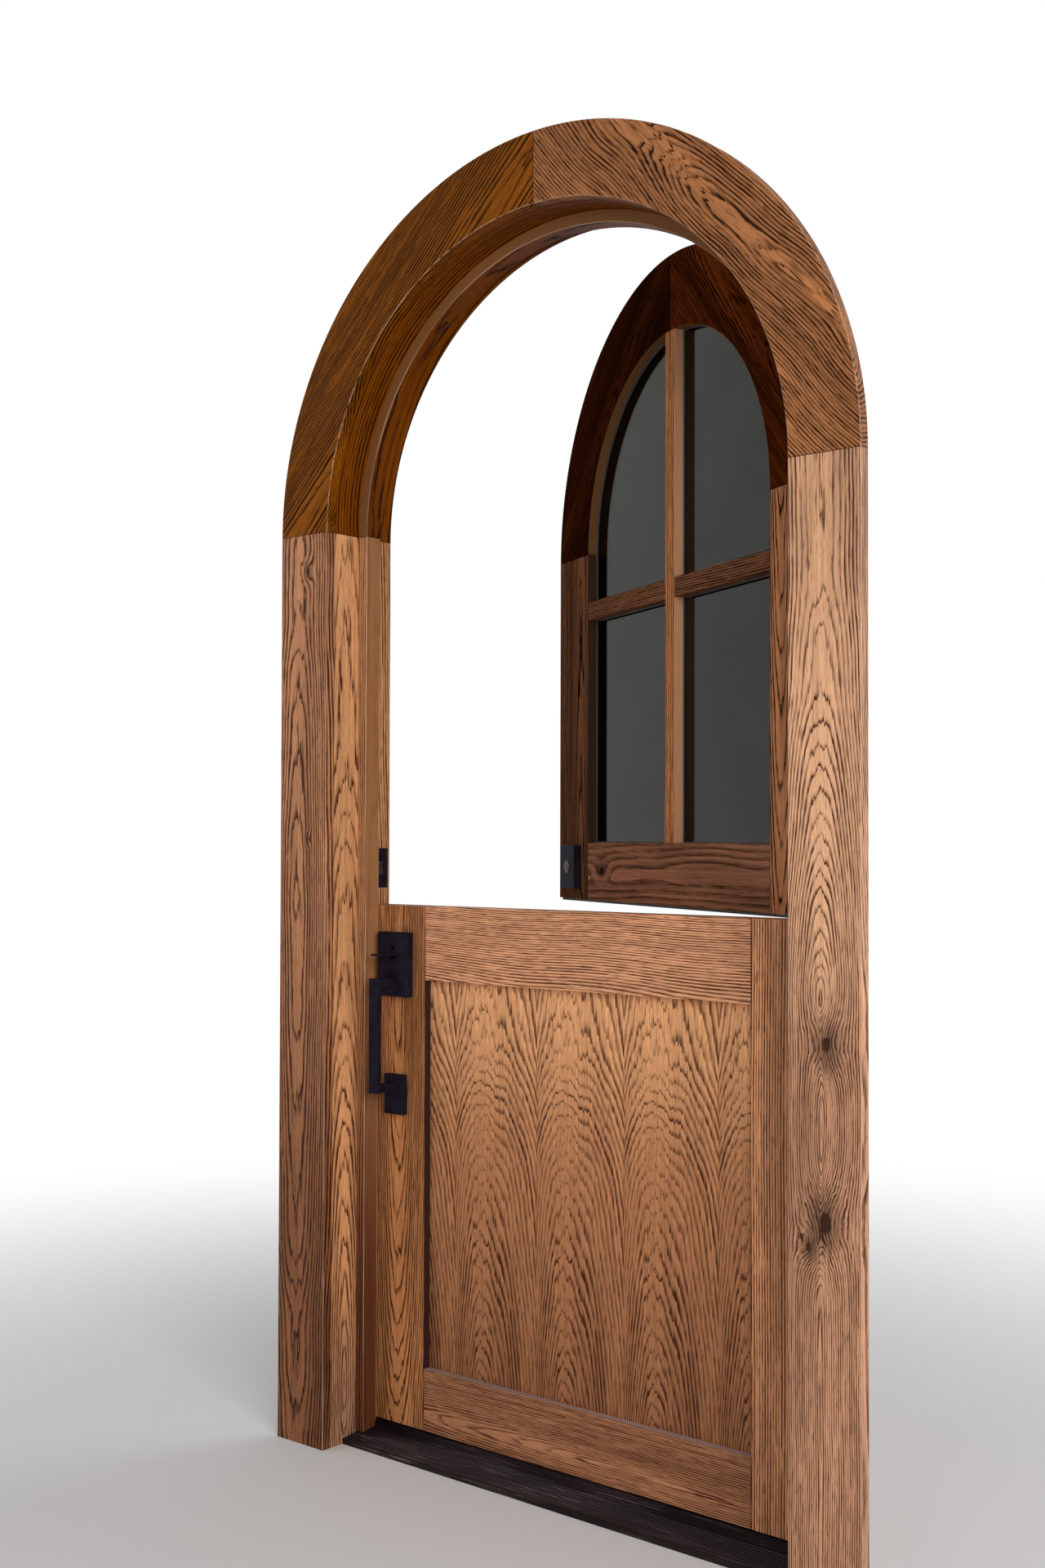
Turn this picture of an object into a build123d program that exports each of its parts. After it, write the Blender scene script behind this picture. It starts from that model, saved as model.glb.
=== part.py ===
from math import sqrt
import os

from build123d import *

# Round-headed dutch door in its frame, in millimetres.
# X runs to the right seen from outside, +Y points into the house, +Z is up.
# The origin is on the ground under the middle of the frame's depth and width.
# The lower leaf is shut, the upper leaf is drawn shut and then swung open.

# Doorway and leaves
leaf_width = 914.4
leaf_thickness = 44.5
side_gap = 3.2
spring_height = 1569.0
leaf_bottom = 35.0
split_height = 926.0
split_gap = 4.7
upper_leaf_angle = 27.3

# Frame timber
jamb_thickness = 19.0
jamb_depth = 136.5
casing_width = 114.3
casing_thickness = 19.0
casing_land = 19.0
casing_relief = 2.0
stop_width = 19.0
stop_depth = 32.2
stop_to_leaf = 1.4
eased_edge = 1.0

# Leaf timber
stile_width = 128.0
top_rail_height = 126.0
bottom_rail_height = 104.0
glazed_rail_height = 105.0
panel_thickness = 15.9
groove_depth = 10.0
groove_clearance = 0.2
tenon_thickness = 12.7
tenon_length = 32.0
tenon_shoulder = 15.0

# Glazing
glass_thickness = 6.0
glass_recess = 18.7
glass_clearance = 0.3
rebate_width = 12.0
muntin_width = 33.0
cross_bar_drop = 122.0

# Sill
sill_front = 27.5
deck_front_height = 9.0
deck_back_height = 17.0
deck_skin = 2.2
rib_count = 9
rib_depth = 1.0
riser_height = 32.5
riser_overhang = 5.5
riser_wall = 2.2
riser_lip = 4.0
riser_groove = 2.6
stop_foot_clearance = 2.5

# Seals
seal_clearance = 0.3
seal_kerf_width = 3.0
seal_kerf_depth = 8.0
seal_strip_width = 10.0
sweep_inset = 6.0

# Butt hinges
hinge_length = 100.0
hinge_plate = 2.4
hinge_plate_width = 32.0
knuckle_count = 5
knuckle_radius = 6.0
knuckle_gap = 0.3
pin_radius = 3.0
running_clearance = 0.05
pin_head_radius = 5.2
pin_head_height = 3.0
hinge_end_distance = 150.0
upper_hinge_rise = 144.3
upper_hinge_drop = 79.0

# Wood screws
screw_radius = 2.0
screw_head_radius = 4.2
screw_clearance = 0.1
jamb_screw_length = 14.0
stile_screw_length = 28.0
hinge_screw_spacing = 34.0
hinge_screw_stagger = 5.0

# Tubular locks, the same for the latch and the deadbolt
lock_bore_radius = 27.0
case_radius = 12.4
case_length = 39.0
case_clearance = 0.2
case_plate_height = 57.0
case_plate_width = 25.4
case_plate_thickness = 2.8
bolt_width = 12.0
bolt_height = 19.0
bolt_clearance = 0.3
bolt_setback = 0.4
bolt_tail = 4.0
latch_throw = 12.7
deadbolt_throw = 25.4
pocket_clearance = 1.5

# Deadbolt trim on the upper leaf
deadbolt_backset = 66.7
deadbolt_rise = 59.3
deadbolt_plate_width = 62.0
deadbolt_plate_height = 80.0
deadbolt_plate_thickness = 15.0
cylinder_radius = 12.0
cylinder_proud = 1.5
cylinder_length = 34.0
plug_radius = 6.5
plug_proud = 0.6
key_slot_width = 1.6
key_slot_height = 8.0
key_slot_depth = 6.0
turn_blade_height = 40.0
turn_blade_thickness = 8.0
turn_blade_depth = 20.0
turn_shaft_radius = 5.0
turn_stand_off = 3.0
cam_radius = 7.5
cam_thickness = 8.0
rose_thickness = 8.0

# Latch trim on the lower leaf
handle_backset = 64.2
latch_drop = 81.0
handle_plate_width = 70.0
handle_plate_above = 35.3
handle_plate_below = 75.4
handle_plate_thickness = 16.0
foot_plate_width = 44.0
foot_plate_above = 28.0
foot_plate_below = 40.4
foot_plate_thickness = 12.5
grip_width = 20.5
grip_thickness = 11.0
grip_reach = 62.2
grip_length = 195.4
grip_lap = 32.8
grip_arm_height = 14.0
grip_arm_width = 16.0
thumb_width = 24.0
thumb_length = 44.0
thumb_thickness = 3.0
thumb_drop = 4.0
thumb_gap = 2.0
thumb_neck_width = 9.0
thumb_neck_height = 10.0
thumb_slot_height = 22.0
thumb_arm_length = 16.0
thumb_pivot_radius = 2.0
inner_rose_size = 64.0
lever_length = 112.0
lever_height = 16.0
lever_thickness = 12.0
lever_reach = 34.0
lever_shaft_radius = 8.0
spindle_size = 7.0
rose_screw_radius = 2.5
rose_screw_spacing = 42.0

# Strike plates
strike_thickness = 2.0
deadbolt_strike_width = 28.6
deadbolt_strike_height = 70.0
deadbolt_strike_shift = 4.2
strike_screw_columns = 8.0
latch_strike_height = 57.0
latch_strike_lead = 14.0

# Surface bolt that joins the two leaves on the inside
join_bolt_inset = 207.2
join_plate_width = 30.0
join_plate_thickness = 3.0
join_plate_rise = 5.3
join_plate_height = 72.0
join_rod_radius = 5.0
join_rod_clearance = 0.08
join_guide_height = 10.0
join_guide_wall = 3.0
join_rod_rise = 7.0
join_knob_radius = 5.0
join_knob_length = 14.0
keeper_height = 32.0
keeper_drop = 4.0
keeper_wall = 5.0

# Lines that several pieces share
half_leaf = leaf_width / 2
opening = half_leaf + side_gap
jamb_outer = opening + jamb_thickness
casing_outer = opening + casing_width
frame_back = jamb_depth / 2
frame_front = -jamb_depth / 2
casing_front = frame_front - casing_thickness
leaf_back = frame_back
leaf_front = leaf_back - leaf_thickness
leaf_middle = (leaf_front + leaf_back) / 2
stop_back = leaf_front - stop_to_leaf
stop_front = stop_back - stop_depth
stop_radius = opening - stop_width
sight_line = half_leaf - stile_width
upper_bottom = split_height + split_gap
glazed_bottom = upper_bottom + glazed_rail_height
glass_front = leaf_front + glass_recess + glass_clearance
glass_back = glass_front + glass_thickness
rebate_radius = sight_line + rebate_width
pin_x = half_leaf + side_gap / 2
deadbolt_x = deadbolt_backset - half_leaf
handle_x = handle_backset - half_leaf
join_bolt_x = join_bolt_inset - half_leaf
pin_y = leaf_back + knuckle_radius + knuckle_gap
cross_bar_height = spring_height - cross_bar_drop
lower_hinge_heights = (leaf_bottom + hinge_end_distance, split_height - hinge_end_distance)
upper_hinge_heights = (upper_bottom + upper_hinge_rise, spring_height - upper_hinge_drop)
deadbolt_height = upper_bottom + deadbolt_rise
latch_height = split_height - latch_drop
handle_plate_top = latch_height + handle_plate_above
handle_plate_bottom = latch_height - handle_plate_below
grip_top = handle_plate_bottom + grip_lap
grip_bottom = grip_top - grip_length
foot_plate_top = grip_bottom + foot_plate_above
foot_plate_bottom = grip_bottom - foot_plate_below
join_plate_bottom = upper_bottom + join_plate_rise
sill_nose = frame_front + sill_front
riser_front = leaf_front - riser_overhang
deck_back = riser_front - riser_groove
grip_front = leaf_front - grip_reach
grip_back = grip_front + grip_thickness


def block(x0, x1, y0, y1, z0, z1):
    middle = ((x0 + x1) / 2, (y0 + y1) / 2, (z0 + z1) / 2)
    return Pos(*middle) * Box(x1 - x0, y1 - y0, z1 - z0)


def rod(centre, radius, length, direction):
    # A cylinder that starts at its centre point and runs along a direction.
    return extrude(Plane(centre, z_dir=direction) * Circle(radius), amount=length)


def flat(outline, y0, y1):
    # An outline in X and Z, given its thickness along Y.
    placed = Plane((0, y0, 0), x_dir=(1, 0, 0), z_dir=(0, -1, 0)) * outline
    return extrude(placed, amount=y1 - y0, dir=(0, 1, 0))


def across(points, x0, x1):
    # A closed outline in Y and Z, given its length along X.
    outline = make_face(Polyline(*points, close=True))
    placed = Plane((x0, 0, 0), x_dir=(0, 1, 0), z_dir=(1, 0, 0)) * outline
    return extrude(placed, amount=x1 - x0, dir=(1, 0, 0))


def arch_sector(inner, outer, y0, y1, start, end):
    # Part of a flat ring about the point where the arch springs.
    inside = CenterArc((0, spring_height), inner, start, end - start)
    outside = CenterArc((0, spring_height), outer, start, end - start)
    ends = Line(inside @ 0, outside @ 0) + Line(inside @ 1, outside @ 1)
    return flat(make_face(inside + outside + ends), y0, y1)


def arch_panel(radius, bottom, y0, y1):
    # A flat piece with straight sides and a half-round head.
    head = CenterArc((0, spring_height), radius, 0, 180)
    left = Line((-radius, spring_height), (-radius, bottom))
    foot = Line((-radius, bottom), (radius, bottom))
    right = Line((radius, bottom), (radius, spring_height))
    return flat(make_face(head + left + foot + right), y0, y1)


def arch_strip(inner, outer, bottom, y0, y1):
    # An upside-down U that follows the doorway.
    below = bottom - 1
    return arch_panel(outer, bottom, y0, y1) - arch_panel(inner, below, y0 - 1, y1 + 1)


def mirrored(shape):
    return mirror(shape, about=Plane.YZ)


def eased_casing(shape):
    # Breaks the long front edges and leaves the butted ends sharp.
    side_edges = shape.edges().filter_by_position(Axis.Y, casing_front - 0.01, casing_front + 0.01)
    long_edges = [edge for edge in side_edges if edge.length > casing_width + 1]
    return chamfer(long_edges, eased_edge)


def deck_height(y):
    share = (y - sill_nose) / (deck_back - sill_nose)
    return deck_front_height + share * (deck_back_height - deck_front_height)


def screw(head_point, direction, length):
    # A countersunk screw whose head lies flush at the given point.
    head_depth = screw_head_radius - screw_radius
    profile = make_face(
        Polyline(
            (0, 0),
            (screw_head_radius, 0),
            (screw_radius, head_depth),
            (screw_radius, length - screw_radius),
            (0, length),
            close=True,
        )
    )
    turned = revolve(Plane.XZ * profile, Axis.Z)
    return Plane(head_point, z_dir=direction) * turned


def screw_hole(head_point, direction, length):
    # The hole that takes such a screw, a little larger all round.
    head_depth = screw_head_radius - screw_radius
    grown = screw_clearance
    profile = make_face(
        Polyline(
            (0, -1),
            (screw_head_radius + grown, -1),
            (screw_head_radius + grown, 0),
            (screw_radius + grown, head_depth),
            (screw_radius + grown, length + grown),
            (0, length + grown),
            close=True,
        )
    )
    turned = revolve(Plane.XZ * profile, Axis.Z)
    return Plane(head_point, z_dir=direction) * turned


# Hinges

def hinge_screw_points(height, x):
    points = []
    plate_middle = leaf_back - hinge_plate_width / 2
    for step in (-1, 0, 1):
        y = plate_middle + (hinge_screw_stagger if step == 0 else -hinge_screw_stagger)
        points.append((x, y, height + step * hinge_screw_spacing))
    return points


def hinge_half(height, x0, x1, own_first):
    # One plate with its own knuckles; the other half's knuckles get room.
    bottom = height - hinge_length / 2
    plate = block(x0, x1, leaf_back - hinge_plate_width, pin_y, bottom, bottom + hinge_length)
    pitch = hinge_length / knuckle_count
    half = plate
    first_owned = 0 if own_first else 1
    for index in range(first_owned, knuckle_count, 2):
        low = bottom + index * pitch
        if index > 0:
            low += knuckle_gap / 2
        high = bottom + (index + 1) * pitch
        if index < knuckle_count - 1:
            high -= knuckle_gap / 2
        half += rod((pin_x, pin_y, low), knuckle_radius, high - low, (0, 0, 1))
    for index in range(1 - first_owned, knuckle_count, 2):
        start = (pin_x, pin_y, bottom + index * pitch - knuckle_gap / 2)
        half -= rod(start, knuckle_radius + knuckle_gap, pitch + knuckle_gap, (0, 0, 1))
    half -= rod((pin_x, pin_y, bottom - 1), pin_radius + running_clearance, hinge_length + 2, (0, 0, 1))
    return half


def frame_hinge_half(height):
    half = hinge_half(height, opening, opening + hinge_plate, True)
    for point in hinge_screw_points(height, opening):
        half -= screw_hole(point, (1, 0, 0), jamb_screw_length)
    return half


def leaf_hinge_half(height):
    half = hinge_half(height, half_leaf - hinge_plate, half_leaf, False)
    for point in hinge_screw_points(height, half_leaf):
        half -= screw_hole(point, (-1, 0, 0), stile_screw_length)
    return half


def hinge_pin(height):
    bottom = height - hinge_length / 2
    stem = rod((pin_x, pin_y, bottom), pin_radius, hinge_length, (0, 0, 1))
    head = rod((pin_x, pin_y, bottom + hinge_length), pin_head_radius, pin_head_height, (0, 0, 1))
    tip = rod((pin_x, pin_y, bottom - pin_head_height), pin_head_radius, pin_head_height, (0, 0, 1))
    head = chamfer(head.edges().group_by(Axis.Z)[-1], pin_head_height / 3)
    tip = chamfer(tip.edges().group_by(Axis.Z)[0], pin_head_height / 3)
    return stem + head + tip


def plate_recess(height, x0, x1):
    low = height - hinge_length / 2
    return block(x0, x1, leaf_back - hinge_plate_width, leaf_back + 1, low, low + hinge_length)


# Frame

def casing_leg():
    # The back is relieved, so one land lies on the jamb and one on the wall.
    leg = eased_casing(block(-casing_outer, -opening, casing_front, frame_front, 0, spring_height))
    return leg - block(
        -casing_outer + casing_land, -jamb_outer,
        frame_front - casing_relief, frame_front + 1, -1, spring_height + 1,
    )


def casing_arch(start):
    arch = eased_casing(arch_sector(opening, casing_outer, casing_front, frame_front, start, start + 90))
    relief_front = frame_front - casing_relief
    return arch - arch_sector(
        jamb_outer, casing_outer - casing_land, relief_front, frame_front + 1, start - 1, start + 91,
    )


def bolt_pocket(height, throw):
    # Room in the jamb for a bolt at its full throw.
    reach = half_leaf + throw + pocket_clearance
    half_width = bolt_width / 2 + pocket_clearance
    half_height = bolt_height / 2 + pocket_clearance
    return block(
        -reach, -opening + 1,
        leaf_middle - half_width, leaf_middle + half_width,
        height - half_height, height + half_height,
    )


def deadbolt_pocket():
    return bolt_pocket(deadbolt_height, deadbolt_throw)


def latch_pocket():
    return bolt_pocket(latch_height, latch_throw)


def deadbolt_strike_blank():
    middle = leaf_middle + deadbolt_strike_shift
    return block(
        -opening - strike_thickness, -opening,
        middle - deadbolt_strike_width / 2, middle + deadbolt_strike_width / 2,
        deadbolt_height - deadbolt_strike_height / 2, deadbolt_height + deadbolt_strike_height / 2,
    )


def latch_strike_blank():
    return block(
        -opening - strike_thickness, -opening,
        leaf_middle - latch_strike_lead, leaf_back,
        latch_height - latch_strike_height / 2, latch_height + latch_strike_height / 2,
    )


def strike_screw_points():
    points = []
    upper_offset = deadbolt_strike_height / 2 - 2 * screw_head_radius
    lower_offset = latch_strike_height / 2 - 1.6 * screw_head_radius
    for side in (-1, 1):
        for column in (-1, 1):
            y = leaf_middle + deadbolt_strike_shift + column * strike_screw_columns / 2
            points.append((-opening, y, deadbolt_height + side * upper_offset))
        points.append((-opening, leaf_middle, latch_height + side * lower_offset))
    return points


def jamb_leg():
    return block(-jamb_outer, -opening, frame_front, frame_back, 0, spring_height)


def lock_jamb():
    leg = jamb_leg() - deadbolt_pocket() - latch_pocket()
    leg -= deadbolt_strike_blank()
    leg -= latch_strike_blank()
    for point in strike_screw_points():
        leg -= screw_hole(point, (-1, 0, 0), jamb_screw_length)
    return leg


def hinge_jamb():
    leg = mirrored(jamb_leg())
    for height in lower_hinge_heights + upper_hinge_heights:
        leg -= plate_recess(height, opening - 1, opening + hinge_plate)
        for point in hinge_screw_points(height, opening):
            leg -= screw_hole(point, (1, 0, 0), jamb_screw_length)
    return leg


def seal_kerf(bottom):
    middle = (stop_radius + opening) / 2
    inner = middle - seal_kerf_width / 2
    outer = middle + seal_kerf_width / 2
    return arch_strip(inner, outer, bottom, stop_back - seal_kerf_depth, stop_back + 1)


def stop_leg():
    foot_front = deck_height(stop_front) + stop_foot_clearance
    foot_back = deck_height(stop_back) + stop_foot_clearance
    outline = [
        (stop_front, foot_front),
        (stop_back, foot_back),
        (stop_back, spring_height),
        (stop_front, spring_height),
    ]
    leg = across(outline, -opening, -stop_radius)
    leg = chamfer(
        leg.edges().filter_by(Axis.Z).sort_by(Axis.X)[-2:].sort_by(Axis.Y)[0], eased_edge
    )
    return leg - seal_kerf(0)


def stop_arch():
    arch = arch_sector(stop_radius, opening, stop_front, stop_back, 0, 180)
    front = arch.edges().filter_by_position(Axis.Y, stop_front - 0.01, stop_front + 0.01)
    inner_edge = front.filter_by(GeomType.CIRCLE).sort_by(SortBy.LENGTH)[0]
    return chamfer(inner_edge, eased_edge) - seal_kerf(0)


def frame_seal():
    # A barbed fin held in the kerf and a flat face that the leaves close on.
    middle = (stop_radius + opening) / 2
    foot = riser_height + seal_clearance
    fin_half = seal_kerf_width / 2 - running_clearance
    fin_back = stop_back - seal_kerf_depth + seal_clearance
    fin = arch_strip(middle - fin_half, middle + fin_half, foot, fin_back, stop_back)
    face_half = seal_strip_width / 2
    face_front = leaf_front - seal_clearance
    face = arch_strip(middle - face_half, middle + face_half, foot, stop_back, face_front)
    return fin + face


def sill_base():
    outline = [
        (sill_nose + deck_skin, 0),
        (frame_back, 0),
        (frame_back, deck_back_height - deck_skin),
        (deck_back, deck_back_height - deck_skin),
        (sill_nose + deck_skin, deck_front_height - deck_skin),
    ]
    return across(outline, -opening, opening)


def sill_deck():
    # A ribbed skin with a nosing that turns down to the ground in front.
    points = [(sill_nose, 0.0), (sill_nose, deck_front_height)]
    pitch = (deck_back - sill_nose) / (rib_count + 0.5)
    for index in range(rib_count):
        start = sill_nose + (index + 0.5) * pitch
        for share, drop in ((0.2, 0), (0.3, rib_depth), (0.7, rib_depth), (0.8, 0)):
            y = start + share * pitch
            points.append((y, deck_height(y) - drop))
    points.append((deck_back, deck_back_height))
    points.append((deck_back, deck_back_height - deck_skin))
    points.append((sill_nose + deck_skin, deck_front_height - deck_skin))
    points.append((sill_nose + deck_skin, 0.0))
    return across(points, -opening, opening)


def sill_riser():
    # A hollow cap beside the leaf, with a stepped front.
    seat = deck_back_height - deck_skin
    step = (riser_height - seat) * 0.62
    outline = [
        (deck_back, seat),
        (deck_back, seat + riser_wall),
        (riser_front, seat + riser_wall),
        (riser_front, seat + step),
        (riser_front + riser_lip / 2, seat + step),
        (riser_front + riser_lip / 2, riser_height),
        (frame_back, riser_height),
        (frame_back, seat),
        (frame_back - riser_wall, seat),
        (frame_back - riser_wall, riser_height - riser_wall),
        (riser_front + riser_lip / 2 + riser_wall, riser_height - riser_wall),
        (riser_front + riser_lip / 2 + riser_wall, seat),
    ]
    riser = across(outline, -opening, opening)
    notch = block(
        -opening - 1, -stop_radius + seal_clearance,
        deck_back - 1, stop_back + seal_clearance, seat - 1, riser_height + 1,
    )
    return riser - notch - mirrored(notch)


def deadbolt_strike():
    plate = deadbolt_strike_blank() - deadbolt_pocket()
    for point in strike_screw_points():
        plate -= screw_hole(point, (-1, 0, 0), jamb_screw_length)
    return plate


def latch_strike():
    plate = latch_strike_blank() - latch_pocket()
    for point in strike_screw_points():
        plate -= screw_hole(point, (-1, 0, 0), jamb_screw_length)
    return plate


# Locks

def lock_bores(x, height):
    cross = rod((x, leaf_front - 1, height), lock_bore_radius, leaf_thickness + 2, (0, 1, 0))
    edge_length = x + half_leaf
    edge = rod((-half_leaf, leaf_middle, height), case_radius + case_clearance, edge_length, (1, 0, 0))
    plate = block(
        -half_leaf - 1, -half_leaf + case_plate_thickness,
        leaf_middle - case_plate_width / 2, leaf_middle + case_plate_width / 2,
        height - case_plate_height / 2, height + case_plate_height / 2,
    )
    return cross + edge + plate


def lock_case(height):
    # The tube in the leaf's edge with its face plate, open for the bolt.
    start = -half_leaf + case_plate_thickness
    tube = rod((start, leaf_middle, height), case_radius, case_length, (1, 0, 0))
    plate = block(
        -half_leaf, start,
        leaf_middle - case_plate_width / 2, leaf_middle + case_plate_width / 2,
        height - case_plate_height / 2, height + case_plate_height / 2,
    )
    case = tube + plate
    half_width = bolt_width / 2 + bolt_clearance
    half_height = bolt_height / 2 + bolt_clearance
    case -= block(
        -half_leaf - 1, start + case_length + 1,
        leaf_middle - half_width, leaf_middle + half_width,
        height - half_height, height + half_height,
    )
    for point in case_screw_points(height):
        case -= screw_hole(point, (1, 0, 0), stile_screw_length)
    return case


def case_screw_points(height):
    offset = case_plate_height / 2 - 1.6 * screw_head_radius
    return [(-half_leaf, leaf_middle, height - offset), (-half_leaf, leaf_middle, height + offset)]


def bolt_blank(x, height, gap_to_cam):
    tip = -half_leaf + bolt_setback
    back = -half_leaf + case_plate_thickness + case_length - bolt_clearance
    body = block(
        tip, back,
        leaf_middle - bolt_width / 2, leaf_middle + bolt_width / 2,
        height - bolt_height / 2, height + bolt_height / 2,
    )
    tail = block(
        back, x - gap_to_cam,
        leaf_middle - bolt_tail / 2, leaf_middle + bolt_tail / 2,
        height - bolt_tail / 2, height + bolt_tail / 2,
    )
    return body, tail


def deadbolt():
    body, tail = bolt_blank(deadbolt_x, deadbolt_height, cam_radius + 1)
    nose = body.edges().group_by(Axis.X)[0]
    return chamfer(nose, 1.5) + tail


def latch_bolt():
    # The nose is cut away on the side that meets the strike first.
    body, tail = bolt_blank(handle_x, latch_height, spindle_size + 3)
    tip = -half_leaf + bolt_setback
    slope = [
        (tip - 1, leaf_middle - bolt_width / 2 - 1),
        (tip + latch_throw, leaf_middle - bolt_width / 2 - 1),
        (tip + latch_throw, leaf_middle - bolt_width / 2),
        (tip, leaf_middle + bolt_width / 2 - 2),
        (tip - 1, leaf_middle + bolt_width / 2 - 2),
    ]
    wedge_face = make_face(Polyline(*slope, close=True))
    low = latch_height - bolt_height / 2 - 1
    wedge = extrude(Plane((0, 0, low)) * wedge_face, amount=bolt_height + 2)
    return body - wedge + tail


def deadbolt_plate():
    half_width = deadbolt_plate_width / 2
    half_height = deadbolt_plate_height / 2
    front = leaf_front - deadbolt_plate_thickness
    plate = block(
        deadbolt_x - half_width, deadbolt_x + half_width,
        front, leaf_front,
        deadbolt_height - half_height, deadbolt_height + half_height,
    )
    plate = chamfer(plate.faces().sort_by(Axis.Y)[0].edges(), eased_edge)
    bore = cylinder_radius + running_clearance
    return plate - rod((deadbolt_x, front - 1, deadbolt_height), bore, deadbolt_plate_thickness + 2, (0, 1, 0))


def deadbolt_cylinder():
    front = leaf_front - deadbolt_plate_thickness - cylinder_proud
    barrel = rod((deadbolt_x, front, deadbolt_height), cylinder_radius, cylinder_length, (0, 1, 0))
    barrel = chamfer(barrel.edges().group_by(Axis.Y)[0], eased_edge)
    bore = plug_radius + running_clearance
    return barrel - rod((deadbolt_x, front - 1, deadbolt_height), bore, cylinder_length + 2, (0, 1, 0))


def key_plug():
    front = leaf_front - deadbolt_plate_thickness - cylinder_proud - plug_proud
    plug = rod((deadbolt_x, front, deadbolt_height), plug_radius, cylinder_length, (0, 1, 0))
    plug = chamfer(plug.edges().group_by(Axis.Y)[0], eased_edge / 2)
    slot = block(
        deadbolt_x - key_slot_width / 2, deadbolt_x + key_slot_width / 2,
        front - 1, front + key_slot_depth,
        deadbolt_height - key_slot_height / 2, deadbolt_height + key_slot_height / 2,
    )
    return plug - slot


def inner_rose(x, height, half_width, half_height, bore):
    rose = block(
        x - half_width, x + half_width,
        leaf_back, leaf_back + rose_thickness,
        height - half_height, height + half_height,
    )
    rose = chamfer(rose.faces().sort_by(Axis.Y)[-1].edges(), eased_edge)
    return rose - rod((x, leaf_back - 1, height), bore, rose_thickness + 2, (0, 1, 0))


def rose_screws(x, height, front):
    # Two long screws draw the inner and outer trim together.
    length = leaf_back + rose_thickness - front
    screws = []
    for side in (-1, 1):
        z = height + side * rose_screw_spacing / 2
        screws.append(rod((x, front, z), rose_screw_radius, length, (0, 1, 0)))
    return screws


def rose_screw_holes(x, height, front):
    reach = leaf_back + rose_thickness + 1 - front
    radius = rose_screw_radius + screw_clearance
    low = rod((x, front, height - rose_screw_spacing / 2), radius, reach, (0, 1, 0))
    high = rod((x, front, height + rose_screw_spacing / 2), radius, reach, (0, 1, 0))
    return low + high


def thumbturn():
    face = leaf_back + rose_thickness
    cam_front = leaf_middle + bolt_tail
    shaft = rod(
        (deadbolt_x, cam_front, deadbolt_height), turn_shaft_radius,
        face + turn_stand_off - cam_front, (0, 1, 0),
    )
    cam = rod((deadbolt_x, cam_front, deadbolt_height), cam_radius, cam_thickness, (0, 1, 0))
    blade = block(
        deadbolt_x - turn_blade_thickness / 2, deadbolt_x + turn_blade_thickness / 2,
        face + turn_stand_off, face + turn_stand_off + turn_blade_depth,
        deadbolt_height - turn_blade_height / 2, deadbolt_height + turn_blade_height / 2,
    )
    blade = chamfer(blade.faces().sort_by(Axis.Y)[-1].edges(), 2 * eased_edge)
    return shaft + cam + blade


# Handle set

def handle_plate():
    half_width = handle_plate_width / 2
    front = leaf_front - handle_plate_thickness
    plate = block(
        handle_x - half_width, handle_x + half_width,
        front, leaf_front, handle_plate_bottom, handle_plate_top,
    )
    plate = chamfer(plate.faces().sort_by(Axis.Y)[0].edges(), eased_edge)
    half_slot = thumb_neck_width / 2 + bolt_clearance
    plate -= block(
        handle_x - half_slot, handle_x + half_slot,
        front - 1, leaf_front + 1,
        latch_height - thumb_slot_height / 2, latch_height + thumb_slot_height / 2,
    )
    pivot_start = handle_x - thumb_neck_width
    pivot = rod(thumb_pivot_at(pivot_start), thumb_pivot_radius, 2 * thumb_neck_width, (1, 0, 0))
    return plate + pivot


def thumb_pivot_at(x):
    return (x, leaf_front - handle_plate_thickness + 2.5 * thumb_pivot_radius, latch_height)


def foot_plate():
    half_width = foot_plate_width / 2
    plate = block(
        handle_x - half_width, handle_x + half_width,
        leaf_front - foot_plate_thickness, leaf_front, foot_plate_bottom, foot_plate_top,
    )
    return chamfer(plate.faces().sort_by(Axis.Y)[0].edges(), eased_edge)


def grip():
    half_width = grip_width / 2
    half_arm = grip_arm_width / 2
    bar = block(handle_x - half_width, handle_x + half_width, grip_front, grip_back, grip_bottom, grip_top)
    bar = chamfer(bar.edges().filter_by(Axis.Z), eased_edge)
    top_arm = block(
        handle_x - half_arm, handle_x + half_arm,
        grip_back, leaf_front - handle_plate_thickness, grip_top - grip_arm_height, grip_top,
    )
    low_arm = block(
        handle_x - half_arm, handle_x + half_arm,
        grip_back, leaf_front - foot_plate_thickness, grip_bottom, grip_bottom + grip_arm_height,
    )
    return bar + top_arm + low_arm


def thumb_lever():
    # A flat thumb piece outside, a neck through the slot and an arm inside.
    plate_front = leaf_front - handle_plate_thickness
    tab_top = latch_height - thumb_drop + thumb_thickness
    tab_back = plate_front - thumb_gap
    tab = block(
        handle_x - thumb_width / 2, handle_x + thumb_width / 2,
        plate_front - thumb_length, tab_back,
        tab_top - thumb_thickness, tab_top,
    )
    corners = tab.edges().filter_by(Axis.Z).group_by(Axis.Y)[0]
    tab = fillet(corners, thumb_width / 3)
    neck = block(
        handle_x - thumb_neck_width / 2, handle_x + thumb_neck_width / 2,
        tab_back - thumb_neck_height, leaf_front + thumb_arm_length,
        tab_top - thumb_thickness, latch_height + thumb_neck_height / 2,
    )
    hole_start = handle_x - thumb_neck_width
    hole = rod(
        thumb_pivot_at(hole_start), thumb_pivot_radius + running_clearance,
        2 * thumb_neck_width, (1, 0, 0),
    )
    return tab + neck - hole


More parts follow.
